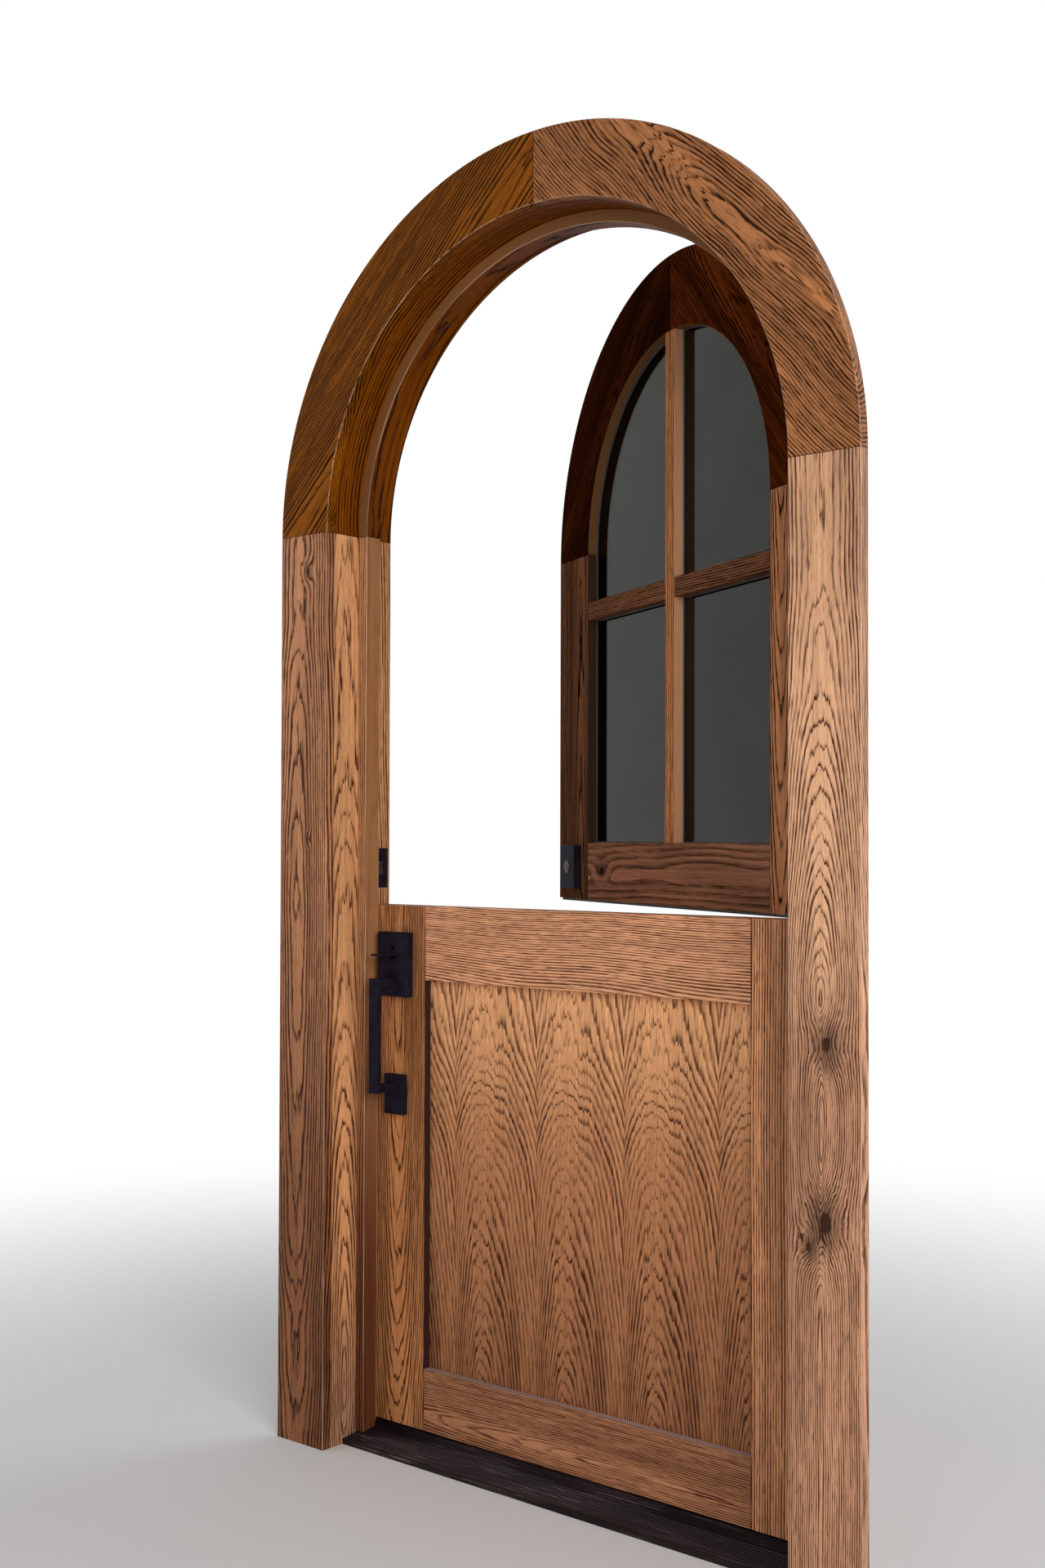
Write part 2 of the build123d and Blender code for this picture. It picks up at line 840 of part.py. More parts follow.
def inner_lever():
    # A round shaft with a square spindle inside and a flat lever outside.
    face = leaf_back + rose_thickness
    spindle_front = leaf_middle + bolt_tail
    half = spindle_size / 2
    spindle = block(
        handle_x - half, handle_x + half, spindle_front, leaf_back,
        latch_height - half, latch_height + half,
    )
    shaft = rod(
        (handle_x, leaf_back, latch_height), lever_shaft_radius,
        rose_thickness + lever_reach - lever_thickness, (0, 1, 0),
    )
    bar_back = face + lever_reach
    bar = block(
        handle_x - lever_shaft_radius - 2, handle_x + lever_length,
        bar_back - lever_thickness, bar_back,
        latch_height - lever_height / 2, latch_height + lever_height / 2,
    )
    bar = chamfer(bar.edges().filter_by(Axis.X), eased_edge)
    return spindle + shaft + bar


# Lower leaf

def panel_groove(y_middle, z0, z1):
    half = panel_thickness / 2 + groove_clearance
    return block(-sight_line - groove_depth, -sight_line + 1, y_middle - half, y_middle + half, z0, z1)


def mortise(z0, z1):
    half = tenon_thickness / 2
    return block(-sight_line - tenon_length, -sight_line + 1, leaf_middle - half, leaf_middle + half, z0, z1)


def rail_blank(z0, z1, top_shoulder, bottom_shoulder):
    # A rail between the stiles with a tenon at each end.
    half = tenon_thickness / 2
    body = block(-sight_line, sight_line, leaf_front, leaf_back, z0, z1)
    reach = sight_line + tenon_length
    tenons = block(
        -reach, reach, leaf_middle - half, leaf_middle + half,
        z0 + bottom_shoulder, z1 - top_shoulder,
    )
    return body + tenons


def lower_stile():
    top_of_panel = split_height - top_rail_height
    bottom_of_panel = leaf_bottom + bottom_rail_height
    stile = block(-half_leaf, -sight_line, leaf_front, leaf_back, leaf_bottom, split_height)
    stile -= panel_groove(leaf_middle, bottom_of_panel - groove_depth, top_of_panel + groove_depth)
    stile -= mortise(top_of_panel + tenon_shoulder, split_height - tenon_shoulder)
    stile -= mortise(leaf_bottom + tenon_shoulder, bottom_of_panel - tenon_shoulder)
    return stile


def lower_lock_stile():
    stile = lower_stile() - lock_bores(handle_x, latch_height)
    for point in case_screw_points(latch_height):
        stile -= screw_hole(point, (1, 0, 0), stile_screw_length)
    return stile


def cut_for_hinges(stile, heights):
    for height in heights:
        stile -= plate_recess(height, half_leaf - hinge_plate, half_leaf + 1)
        for point in hinge_screw_points(height, half_leaf):
            stile -= screw_hole(point, (-1, 0, 0), stile_screw_length)
    return stile


def rail_groove(z0, z1):
    half = panel_thickness / 2 + groove_clearance
    return block(-sight_line - 1, sight_line + 1, leaf_middle - half, leaf_middle + half, z0, z1)


def lower_top_rail():
    low = split_height - top_rail_height
    rail = rail_blank(low, split_height, tenon_shoulder, tenon_shoulder)
    rail -= rail_groove(low - 1, low + groove_depth)
    return rail - lock_bores(handle_x, latch_height)


def lower_bottom_rail():
    high = leaf_bottom + bottom_rail_height
    rail = rail_blank(leaf_bottom, high, tenon_shoulder, tenon_shoulder)
    return rail - rail_groove(high - groove_depth, high + 1)


def lower_panel():
    reach = sight_line + groove_depth - groove_clearance
    low = leaf_bottom + bottom_rail_height - groove_depth + groove_clearance
    high = split_height - top_rail_height + groove_depth - groove_clearance
    half = panel_thickness / 2
    return block(-reach, reach, leaf_middle - half, leaf_middle + half, low, high)


def lower_sweep():
    return block(
        -half_leaf + sweep_inset, half_leaf - sweep_inset,
        leaf_front + sweep_inset, leaf_back - sweep_inset,
        riser_height + seal_clearance, leaf_bottom,
    )


# Upper leaf

def glazing_rebate():
    # Room for the glass and its beads, behind the outer lip.
    low = glazed_bottom - rebate_width
    return arch_panel(rebate_radius, low, leaf_front + glass_recess, leaf_back + 1)


def upper_stile():
    stile = block(-half_leaf, -sight_line, leaf_front, leaf_back, upper_bottom, spring_height)
    stile -= mortise(upper_bottom + tenon_shoulder, glazed_bottom - tenon_shoulder - rebate_width)
    return stile - glazing_rebate()


def upper_lock_stile():
    stile = upper_stile() - lock_bores(deadbolt_x, deadbolt_height)
    for point in case_screw_points(deadbolt_height):
        stile -= screw_hole(point, (1, 0, 0), stile_screw_length)
    return stile


def upper_arch(start):
    arch = arch_sector(sight_line, half_leaf, leaf_front, leaf_back, start, start + 90)
    return arch - glazing_rebate()


def upper_bottom_rail():
    rail = rail_blank(upper_bottom, glazed_bottom, tenon_shoulder + rebate_width, tenon_shoulder)
    return rail - glazing_rebate() - lock_bores(deadbolt_x, deadbolt_height)


def glass():
    radius = rebate_radius - glass_clearance
    low = glazed_bottom - rebate_width + glass_clearance
    return arch_panel(radius, low, glass_front, glass_back)


def glazing_beads():
    # Four loose strips that hold the glass from inside.
    front = glass_back + glass_clearance
    low = glazed_bottom - rebate_width
    arch = arch_sector(sight_line, rebate_radius, front, leaf_back, 0, 180)
    left = block(-rebate_radius, -sight_line, front, leaf_back, low, spring_height)
    foot = block(-sight_line, sight_line, front, leaf_back, low, glazed_bottom)
    return [arch, left, mirrored(left), foot]


def muntin_post(y0, y1):
    post = block(
        -muntin_width / 2, muntin_width / 2, y0, y1,
        glazed_bottom, spring_height + sight_line,
    )
    return post & arch_panel(sight_line, glazed_bottom, y0 - 1, y1 + 1)


def muntin_bars(y0, y1):
    left = block(
        -sight_line, -muntin_width / 2, y0, y1,
        cross_bar_height, cross_bar_height + muntin_width,
    )
    return [left, mirrored(left)]


def upper_seal():
    return block(
        -half_leaf + sweep_inset, half_leaf - sweep_inset,
        leaf_front + sweep_inset / 2, leaf_back - sweep_inset / 2,
        split_height + seal_clearance, upper_bottom,
    )


# Surface bolt between the leaves

def join_guide(z0):
    outer = join_rod_radius + join_guide_wall
    return block(
        join_bolt_x - outer, join_bolt_x + outer,
        leaf_back + join_plate_thickness, join_rod_y() + outer,
        z0, z0 + join_guide_height,
    )


def join_rod_y():
    return leaf_back + join_plate_thickness + join_guide_wall + join_rod_radius


def join_plate():
    top = join_plate_bottom + join_plate_height
    plate = block(
        join_bolt_x - join_plate_width / 2, join_bolt_x + join_plate_width / 2,
        leaf_back, leaf_back + join_plate_thickness, join_plate_bottom, top,
    )
    low_guide = join_guide(join_plate_bottom + join_guide_height / 2)
    high_guide = join_guide(top - 1.5 * join_guide_height)
    body = plate + low_guide + high_guide
    bore = join_rod_radius + join_rod_clearance
    start = (join_bolt_x, join_rod_y(), join_plate_bottom - 1)
    return body - rod(start, bore, join_plate_height + 2, (0, 0, 1))


def join_rod():
    low = join_plate_bottom + 1
    stem = rod((join_bolt_x, join_rod_y(), low), join_rod_radius, join_plate_height + join_rod_rise, (0, 0, 1))
    stem = chamfer(stem.edges().group_by(Axis.Z)[0], eased_edge)
    top_guide_foot = join_plate_bottom + join_plate_height - 1.5 * join_guide_height
    knob_height = top_guide_foot - join_knob_radius - 1
    knob = rod(
        (join_bolt_x, join_rod_y(), knob_height), join_knob_radius,
        join_rod_radius + join_knob_length, (0, 1, 0),
    )
    return stem + knob


def join_keeper():
    outer = join_rod_radius + keeper_wall
    high = split_height - keeper_drop
    keeper = block(
        join_bolt_x - outer, join_bolt_x + outer,
        leaf_back, join_rod_y() + outer, high - keeper_height, high,
    )
    bore = join_rod_radius + bolt_clearance
    start = (join_bolt_x, join_rod_y(), high - keeper_height + keeper_wall)
    return keeper - rod(start, bore, keeper_height, (0, 0, 1))


# Fasteners

def frame_screws():
    screws = [screw(point, (-1, 0, 0), jamb_screw_length) for point in strike_screw_points()]
    for height in lower_hinge_heights + upper_hinge_heights:
        for point in hinge_screw_points(height, opening):
            screws.append(screw(point, (1, 0, 0), jamb_screw_length))
    return screws


def leaf_screws(hinge_heights, lock_height):
    screws = [screw(point, (1, 0, 0), stile_screw_length) for point in case_screw_points(lock_height)]
    for height in hinge_heights:
        for point in hinge_screw_points(height, half_leaf):
            screws.append(screw(point, (-1, 0, 0), stile_screw_length))
    return screws


def solids_of(shape):
    if isinstance(shape, list):
        return [solid for piece in shape for solid in solids_of(piece)]
    return list(shape.solids())


def swung(shape):
    # The upper leaf and all that it carries, turned about the hinge pins.
    turn = Pos(pin_x, pin_y, 0) * Rot(0, 0, -upper_leaf_angle) * Pos(-pin_x, -pin_y, 0)
    return turn * shape


def frame_nodes():
    left_leg = casing_leg()
    left_stop = stop_leg()
    all_hinges = lower_hinge_heights + upper_hinge_heights
    return {
        "casing_left_leg": left_leg,
        "casing_right_leg": mirrored(left_leg),
        "casing_left_arch": casing_arch(90),
        "casing_right_arch": casing_arch(0),
        "jamb_left_leg": lock_jamb(),
        "jamb_right_leg": hinge_jamb(),
        "jamb_arch": arch_sector(opening, jamb_outer, frame_front, frame_back, 0, 180),
        "stop_left_leg": left_stop,
        "stop_right_leg": mirrored(left_stop),
        "stop_arch": stop_arch(),
        "frame_seal": frame_seal(),
        "sill_base": sill_base(),
        "sill_deck": sill_deck(),
        "sill_riser": sill_riser(),
        "deadbolt_strike": deadbolt_strike(),
        "latch_strike": latch_strike(),
        "hinge_frame_halves": [frame_hinge_half(height) for height in all_hinges],
        "hinge_pins": [hinge_pin(height) for height in all_hinges],
        "frame_screws": frame_screws(),
    }


def lower_leaf_nodes():
    screw_front = leaf_front - handle_plate_thickness / 2
    holes = rose_screw_holes(handle_x, latch_height, screw_front)
    half_rose = inner_rose_size / 2
    rose_bore = lever_shaft_radius + running_clearance
    rose = inner_rose(handle_x, latch_height, half_rose, half_rose, rose_bore)
    return {
        "lower_lock_stile": lower_lock_stile(),
        "lower_hinge_stile": cut_for_hinges(mirrored(lower_stile()), lower_hinge_heights),
        "lower_top_rail": lower_top_rail(),
        "lower_bottom_rail": lower_bottom_rail(),
        "lower_panel": lower_panel(),
        "lower_sweep": lower_sweep(),
        "lower_hinge_halves": [leaf_hinge_half(height) for height in lower_hinge_heights],
        "latch_case": lock_case(latch_height),
        "latch_bolt": latch_bolt(),
        "handle_plate": handle_plate() - holes,
        "foot_plate": foot_plate(),
        "handle_grip": grip(),
        "thumb_lever": thumb_lever(),
        "inner_rose": rose - holes,
        "inner_lever": inner_lever(),
        "join_keeper": join_keeper(),
        "lower_leaf_screws": leaf_screws(lower_hinge_heights, latch_height)
        + rose_screws(handle_x, latch_height, screw_front),
    }


def upper_leaf_nodes():
    outer_face = leaf_front
    inner_face = glass_back + glass_clearance
    bar_back = leaf_front + glass_recess
    screw_front = leaf_front - deadbolt_plate_thickness / 2
    holes = rose_screw_holes(deadbolt_x, deadbolt_height, screw_front)
    half_width = deadbolt_plate_width / 2
    half_height = deadbolt_plate_height / 2
    turn_bore = turn_shaft_radius + running_clearance
    rose = inner_rose(deadbolt_x, deadbolt_height, half_width, half_height, turn_bore)
    return {
        "upper_lock_stile": upper_lock_stile(),
        "upper_hinge_stile": cut_for_hinges(mirrored(upper_stile()), upper_hinge_heights),
        "upper_lock_arch": upper_arch(90),
        "upper_hinge_arch": upper_arch(0),
        "upper_bottom_rail": upper_bottom_rail(),
        "outer_muntin_post": muntin_post(outer_face, bar_back),
        "outer_muntin_bars": muntin_bars(outer_face, bar_back),
        "inner_muntin_post": muntin_post(inner_face, leaf_back),
        "inner_muntin_bars": muntin_bars(inner_face, leaf_back),
        "glass": glass(),
        "glazing_beads": glazing_beads(),
        "upper_seal": upper_seal(),
        "upper_hinge_halves": [leaf_hinge_half(height) for height in upper_hinge_heights],
        "deadbolt_case": lock_case(deadbolt_height),
        "deadbolt": deadbolt(),
        "deadbolt_plate": deadbolt_plate() - holes,
        "deadbolt_cylinder": deadbolt_cylinder(),
        "key_plug": key_plug(),
        "deadbolt_rose": rose - holes,
        "thumbturn": thumbturn(),
        "join_plate": join_plate(),
        "join_rod": join_rod(),
        "upper_leaf_screws": leaf_screws(upper_hinge_heights, deadbolt_height)
        + rose_screws(deadbolt_x, deadbolt_height, screw_front),
    }


def write(name, shape):
    solids = solids_of(shape)
    whole = solids[0] if len(solids) == 1 else Compound(children=solids)
    export_step(whole, f"parts/{name}.step")


os.makedirs("parts", exist_ok=True)
for node, piece in frame_nodes().items():
    write(node, piece)
for node, piece in lower_leaf_nodes().items():
    write(node, piece)
for node, piece in upper_leaf_nodes().items():
    opened = [swung(solid) for solid in solids_of(piece)]
    write(node, opened)
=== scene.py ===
from math import cos, pi, radians, sin

import bmesh
import bpy
import numpy as np
from mathutils import Matrix, Vector


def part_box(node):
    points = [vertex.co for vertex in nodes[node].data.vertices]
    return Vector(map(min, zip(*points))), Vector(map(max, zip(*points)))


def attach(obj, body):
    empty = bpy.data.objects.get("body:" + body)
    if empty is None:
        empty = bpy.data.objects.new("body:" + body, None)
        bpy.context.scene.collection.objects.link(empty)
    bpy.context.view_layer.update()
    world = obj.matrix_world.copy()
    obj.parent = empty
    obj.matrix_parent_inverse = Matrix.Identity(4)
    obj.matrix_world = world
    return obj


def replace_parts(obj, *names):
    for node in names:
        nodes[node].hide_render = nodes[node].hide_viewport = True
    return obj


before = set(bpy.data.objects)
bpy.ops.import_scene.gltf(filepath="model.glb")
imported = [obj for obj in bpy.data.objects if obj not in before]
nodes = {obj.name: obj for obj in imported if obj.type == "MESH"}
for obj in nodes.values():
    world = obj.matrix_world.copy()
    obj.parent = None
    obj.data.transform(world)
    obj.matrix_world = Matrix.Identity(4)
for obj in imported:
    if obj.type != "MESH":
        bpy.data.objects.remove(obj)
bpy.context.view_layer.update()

print("stage 1: the packed frame is in")


def middleOf(node):
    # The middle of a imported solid's box
    low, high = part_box(node)
    return tuple((low + high) / 2)


# Where the door's main lines are, in metres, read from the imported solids; only the angle at which
# the upper leaf stands open, in degrees, is given here
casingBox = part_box("casing_left_leg")
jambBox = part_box("jamb_left_leg")
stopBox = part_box("stop_left_leg")
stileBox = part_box("lower_lock_stile")
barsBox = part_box("outer_muntin_bars")
doorway = {
    "springHeight": jambBox[1].z,
    "opening": -jambBox[1].x,
    "casingReach": -casingBox[0].x,
    "casingFront": casingBox[0].y,
    "stopReach": -stopBox[1].x,
    "stopFront": stopBox[0].y,
    "stopBack": stopBox[1].y,
    "halfLeaf": -stileBox[0].x,
    "stileEdge": -stileBox[1].x,
    "leafFront": stileBox[0].y,
    "barLow": barsBox[0].z,
    "barHigh": barsBox[1].z,
    "postHalf": (barsBox[1].z - barsBox[0].z) / 2,
    "pin": middleOf("hinge_pins")[:2],
    "leafAngle": 27.3,
}


def camelWords(name):
    return "".join(word.title() for word in name.split("_"))


def swing(points):
    # Points of the shut upper leaf, turned about the hinge pins to where it stands open
    turn = radians(-doorway["leafAngle"])
    pin = np.array((*doorway["pin"], 0))
    wheel = np.array(((cos(turn), -sin(turn), 0), (sin(turn), cos(turn), 0), (0, 0, 1)))
    return (points - pin) @ wheel.T + pin


def newObject(name, data):
    item = bpy.data.objects.new(name, data)
    bpy.context.scene.collection.objects.link(item)
    return item


# Camera, where the photographer stood
cameraSettings = {
    "place": (1.7492, -2.1696, 1.0417),
    "yaw": 40.316,
    "pitch": 1.086,
    "roll": 0.157,
    "lens": 40.443,
    "shiftY": 0.0138,
}


def makeCamera(settings):
    # It looks straight down at first, so a right angle more than its pitch raises it
    yaw, pitch, roll = (radians(settings[key]) for key in ("yaw", "pitch", "roll"))
    raised = Matrix.Rotation(pi / 2 + pitch, 4, "X") @ Matrix.Rotation(roll, 4, "Z")
    data = bpy.data.cameras.new("doorCamera")
    data.lens = settings["lens"]
    data.sensor_width = 36
    data.shift_y = settings["shiftY"]
    data.clip_start = 0.05
    data.clip_end = 100
    camera = newObject("doorCamera", data)
    camera.matrix_world = Matrix.Translation(settings["place"]) @ Matrix.Rotation(yaw, 4, "Z") @ raised
    bpy.context.scene.camera = camera


makeCamera(cameraSettings)
print("stage 2: camera")


# Small helpers for material nodes

def addNode(tree, kind, **values):
    node = tree.nodes.new(kind)
    for key, value in values.items():
        setattr(node, key, value)
    return node


def feed(tree, socket, value):
    if hasattr(value, "is_output"):
        tree.links.new(value, socket)
    elif value is not None:
        socket.default_value = value


def feedAll(tree, node, values):
    # Inputs by their names, or in their order
    if not isinstance(values, dict):
        values = dict(enumerate(values))
    for key, value in values.items():
        feed(tree, node.inputs[key], value)


def calc(tree, operation, a, b=None, c=None, clamp=False):
    node = addNode(tree, "ShaderNodeMath", operation=operation, use_clamp=clamp)
    feedAll(tree, node, (a, b, c))
    return node.outputs[0]


def times(tree, a, b, clamp=False):
    return calc(tree, "MULTIPLY", a, b, clamp=clamp)


def plus(tree, a, b):
    return calc(tree, "ADD", a, b)


def minus(tree, a, b):
    return calc(tree, "SUBTRACT", a, b)


def calcVector(tree, operation, a, b=None):
    node = addNode(tree, "ShaderNodeVectorMath", operation=operation)
    feedAll(tree, node, (a, b))
    return node.outputs["Value" if operation == "LENGTH" else "Vector"]


def between(tree, value, low, high, outLow=0.0, outHigh=1.0):
    node = addNode(tree, "ShaderNodeMapRange", interpolation_type="SMOOTHSTEP")
    feedAll(tree, node, (value, low, high, outLow, outHigh))
    return node.outputs[0]


def ramp(tree, value, stops):
    node = addNode(tree, "ShaderNodeValToRGB")
    while len(node.color_ramp.elements) < len(stops):
        node.color_ramp.elements.new(0.5)
    for element, (place, colour) in zip(node.color_ramp.elements, stops):
        element.position = place
        element.color = (*colour, 1) if hasattr(colour, "__len__") else (colour, colour, colour, 1)
    feed(tree, node.inputs[0], value)
    return node.outputs[0]


def mixColour(tree, share, first, second, blend="MIX"):
    node = addNode(tree, "ShaderNodeMix", data_type="RGBA", blend_type=blend, clamp_factor=True)
    feed(tree, node.inputs["Factor"], share)
    for name, value in (("A", first), ("B", second)):
        socket = [s for s in node.inputs if s.name == name and s.type == "RGBA"][0]
        feed(tree, socket, (*value, 1) if isinstance(value, tuple) and len(value) == 3 else value)
    return [s for s in node.outputs if s.type == "RGBA"][0]


def noiseAt(tree, vector, stretch, shift=None, detail=2.0, rough=0.5):
    # Noise with its own number of grains per metre in each direction
    placed = calcVector(tree, "MULTIPLY", vector, stretch)
    if shift is not None:
        placed = calcVector(tree, "ADD", placed, shift)
    node = addNode(tree, "ShaderNodeTexNoise", noise_dimensions="3D")
    feedAll(tree, node, {"Vector": placed, "Scale": 1, "Detail": detail, "Roughness": rough})
    return node.outputs["Fac"], node.outputs["Color"]


def newMaterial(name):
    material = bpy.data.materials.new(name)
    material.use_nodes = True
    tree = material.node_tree
    return material, tree, tree.nodes["Principled BSDF"]


def mapped(tree, place, centre, turn):
    board = addNode(tree, "ShaderNodeMapping", vector_type="TEXTURE")
    rotation = [radians(angle) for angle in turn]
    feedAll(tree, board, {"Vector": place, "Location": centre, "Rotation": rotation})
    return board.outputs[0]


def objectPlace(tree):
    return addNode(tree, "ShaderNodeTexCoord").outputs["Object"]


def shutPlace(tree, swung):
    # Object coordinates as the shut door has them
    place = objectPlace(tree)
    if not swung:
        return place
    pin = (*doorway["pin"], 0)
    unturned = mapped(tree, place, pin, (0, 0, -doorway["leafAngle"]))
    return calcVector(tree, "ADD", unturned, pin)


def parted(tree, vector):
    node = addNode(tree, "ShaderNodeSeparateXYZ")
    feed(tree, node.inputs[0], vector)
    return node.outputs


def joined(tree, x, y, z):
    node = addNode(tree, "ShaderNodeCombineXYZ")
    feedAll(tree, node, (x, y, z))
    return node.outputs[0]


def squared(tree, value):
    return calc(tree, "POWER", value, 2.0)


def longSide(tree, a, b):
    # The long side of a right triangle
    return calc(tree, "SQRT", plus(tree, squared(tree, a), squared(tree, b)))


def hillOf(tree, offset, height):
    # A round hill: height times e to the power of minus half the offset squared
    fall = times(tree, squared(tree, offset), -0.5)
    return times(tree, calc(tree, "EXPONENT", fall), height)


def scaled(values, factor):
    return tuple(value * factor for value in values)


def doorRadius(tree, place):
    # How far a point is from the doorway's middle line, straight or round the arch
    x, y, z = parted(tree, place)
    above = calc(tree, "MAXIMUM", minus(tree, z, doorway["springHeight"]), 0.0)
    return longSide(tree, x, above)


def addBump(tree, surface, height, strength, distance):
    bump = addNode(tree, "ShaderNodeBump")
    feedAll(tree, bump, {"Height": height, "Strength": strength, "Distance": distance})
    feed(tree, surface.inputs["Normal"], bump.outputs[0])


def dress(name, material):
    mesh = nodes[name].data
    mesh.materials.clear()
    mesh.materials.append(material)


# The oak's figure: the rings of a log as a sawn board shows them
figureKeys = (
    "seed", "heart", "depth", "lean", "bow", "hold", "sway", "swayRate", "drift", "pitch", "jag", "skew",
)
figureSettings = {
    # grains of noise per metre: across, deep, along
    "coarseTeeth": (75, 75, 9), "fineTeeth": (330, 330, 18), "fineShare": 0.45,
    "patches": (110, 110, 12), "streaks": (620, 620, 26), "pores": (640, 640, 42),
    "fibre": (230, 230, 5), "broad": (22, 22, 1.8),
    # how dark a ring is across its width, and how unlike the rings are
    "ringProfile": ((0.0, 0.0), (0.06, 1.0), (0.33, 0.95), (0.52, 0.35), (0.86, 0.0), (1.0, 0.0)),
    "ringSpread": 0.55, "ringLeast": 0.5,
    "narrowest": 0.3, "narrowing": 1.8,
    "poreShift": (7.3, 1.9, 4.4),
}


def socketName(key):
    return key[0].upper() + key[1:]


def makeOakFigure(settings):
    group = bpy.data.node_groups.new("oakFigure", "ShaderNodeTree")
    face = group.interface
    face.new_socket("Board", in_out="INPUT", socket_type="NodeSocketVector")
    for name in (*figureKeys, "bulge"):
        face.new_socket(socketName(name), in_out="INPUT", socket_type="NodeSocketFloat")
    for name in ("Line", "Pore", "Fibre", "Broad"):
        face.new_socket(name, in_out="OUTPUT", socket_type="NodeSocketFloat")
    given = group.nodes.new("NodeGroupInput").outputs
    result = group.nodes.new("NodeGroupOutput").inputs
    board = given["Board"]
    seed = given["Seed"]
    shift = joined(group, seed, times(group, seed, 0.37), times(group, seed, 1.71))
    width, depth, length = parted(group, board)

    # The heart of the log wanders slowly along the board
    along = joined(group, 0.0, 0.0, times(group, length, given["SwayRate"]))
    wander = addNode(group, "ShaderNodeSeparateColor")
    feed(group, wander.inputs[0], noiseAt(group, along, (1, 1, 1), shift, detail=1.5)[1])
    aside = times(group, minus(group, wander.outputs[0], 0.5), given["Drift"])
    deeper = times(group, minus(group, wander.outputs[1], 0.5), given["Sway"])
    across = minus(group, minus(group, width, given["Heart"]), aside)
    flatter = times(group, calc(group, "MAXIMUM", across, 0.0), given["Skew"])
    across = minus(group, across, flatter)
    held = calc(group, "MAXIMUM", length, given["Hold"])
    bend = times(group, held, given["Bow"])
    slope = plus(group, given["Lean"], bend)
    rise = times(group, held, slope)
    below = plus(group, plus(group, depth, given["Depth"]), plus(group, rise, deeper))
    radius = longSide(group, across, below)

    # How fast the rings pass under the face, so that their lines stay thin where rings are wide
    fall = times(group, plus(group, slope, bend), below)
    steep = calc(group, "DIVIDE", longSide(group, across, fall), calc(group, "MAXIMUM", radius, 0.002))
    narrow = times(group, steep, settings["narrowing"])
    narrow = calc(group, "MINIMUM", calc(group, "MAXIMUM", narrow, settings["narrowest"]), 1.0)

    # Each ring is jagged along the grain, most where it crosses the face
    coarse = noiseAt(group, board, settings["coarseTeeth"], shift, detail=2.0, rough=0.55)[0]
    teeth = noiseAt(group, board, settings["fineTeeth"], shift, detail=1.0)[0]
    teeth = times(group, minus(group, teeth, 0.5), settings["fineShare"])
    ragged = plus(group, minus(group, coarse, 0.5), teeth)
    ragged = times(group, ragged, given["Jag"])
    ragged = times(group, ragged, minus(group, 1.3, narrow))
    radius = plus(group, plus(group, radius, ragged), given["Bulge"])
    turns = plus(group, calc(group, "DIVIDE", radius, given["Pitch"]), 40.0)
    share = calc(group, "DIVIDE", calc(group, "FRACT", turns), narrow)
    ringNoise = addNode(group, "ShaderNodeTexWhiteNoise", noise_dimensions="1D")
    feed(group, ringNoise.inputs["W"], plus(group, calc(group, "FLOOR", turns), seed))
    ringShare = ringNoise.outputs["Value"]
    ringWeight = calc(group, "MULTIPLY_ADD", ringShare, settings["ringSpread"], settings["ringLeast"])
    profile = ramp(group, share, settings["ringProfile"])
    patches = noiseAt(group, board, settings["patches"], shift, detail=2.0, rough=0.6)[0]
    broken = between(group, patches, 0.32, 0.5, 0.4, 1.0)
    streaks = noiseAt(group, board, settings["streaks"], shift, detail=1.0)[0]
    broken = times(group, broken, between(group, streaks, 0.36, 0.5, 0.6, 1.0))
    line = times(group, times(group, profile, ringWeight), broken, clamp=True)
    feed(group, result["Line"], line)

    # Open pores are short dark dashes, thickest along the rings
    poreShift = calcVector(group, "ADD", shift, settings["poreShift"])
    dashes = noiseAt(group, board, settings["pores"], poreShift, detail=1.5, rough=0.6)[0]
    pore = between(group, dashes, 0.53, 0.68)
    crowded = calc(group, "MULTIPLY_ADD", profile, 0.6, 0.45)
    feed(group, result["Pore"], times(group, pore, crowded, clamp=True))
    feed(group, result["Fibre"], noiseAt(group, board, settings["fibre"], shift, detail=3.0, rough=0.65)[0])
    feed(group, result["Broad"], noiseAt(group, board, settings["broad"], shift, detail=2.0)[0])
    return group


oakFigure = makeOakFigure(figureSettings)

# One board. centre and turn place its log: x across the face, y into it, z along it.
# light and dark are the wood's two tones, which on the casings, the arches and the upper leaf also hold
# painted light and shade;
# the lists hold what happens along or across it: knots (along, across, size), furrows (across, spread,
# height), shade (from, to, share, tint), ends (axis, offset), arrises (distance from the middle line, y),
# sideLightAndTint (axis or "edge", offset, tint)
oakDefaults = {
    "centre": (0, 0, 0), "turn": (0, 0, 0), "swung": False, "seed": 1.0,
    "heart": 0.0, "depth": 0.05, "lean": 0.05, "bow": 0.0, "hold": -9.0,
    "sway": 0.03, "swayRate": 2.0, "drift": 0.02, "pitch": 0.004, "jag": 0.003, "skew": 0.0,
    "light": (0.4815, 0.2354, 0.105), "dark": (0.06, 0.0207, 0.0088), "variation": 0.3,
    "lineStrength": 1.4, "poreStrength": 0.85, "rough": 0.46, "gloss": 0.1, "bend": None, "veneerWidth": None,
    "knots": (), "furrows": (), "shade": (), "ends": (), "arrises": (), "sideLightAndTint": None, "dust": 0.0,
}
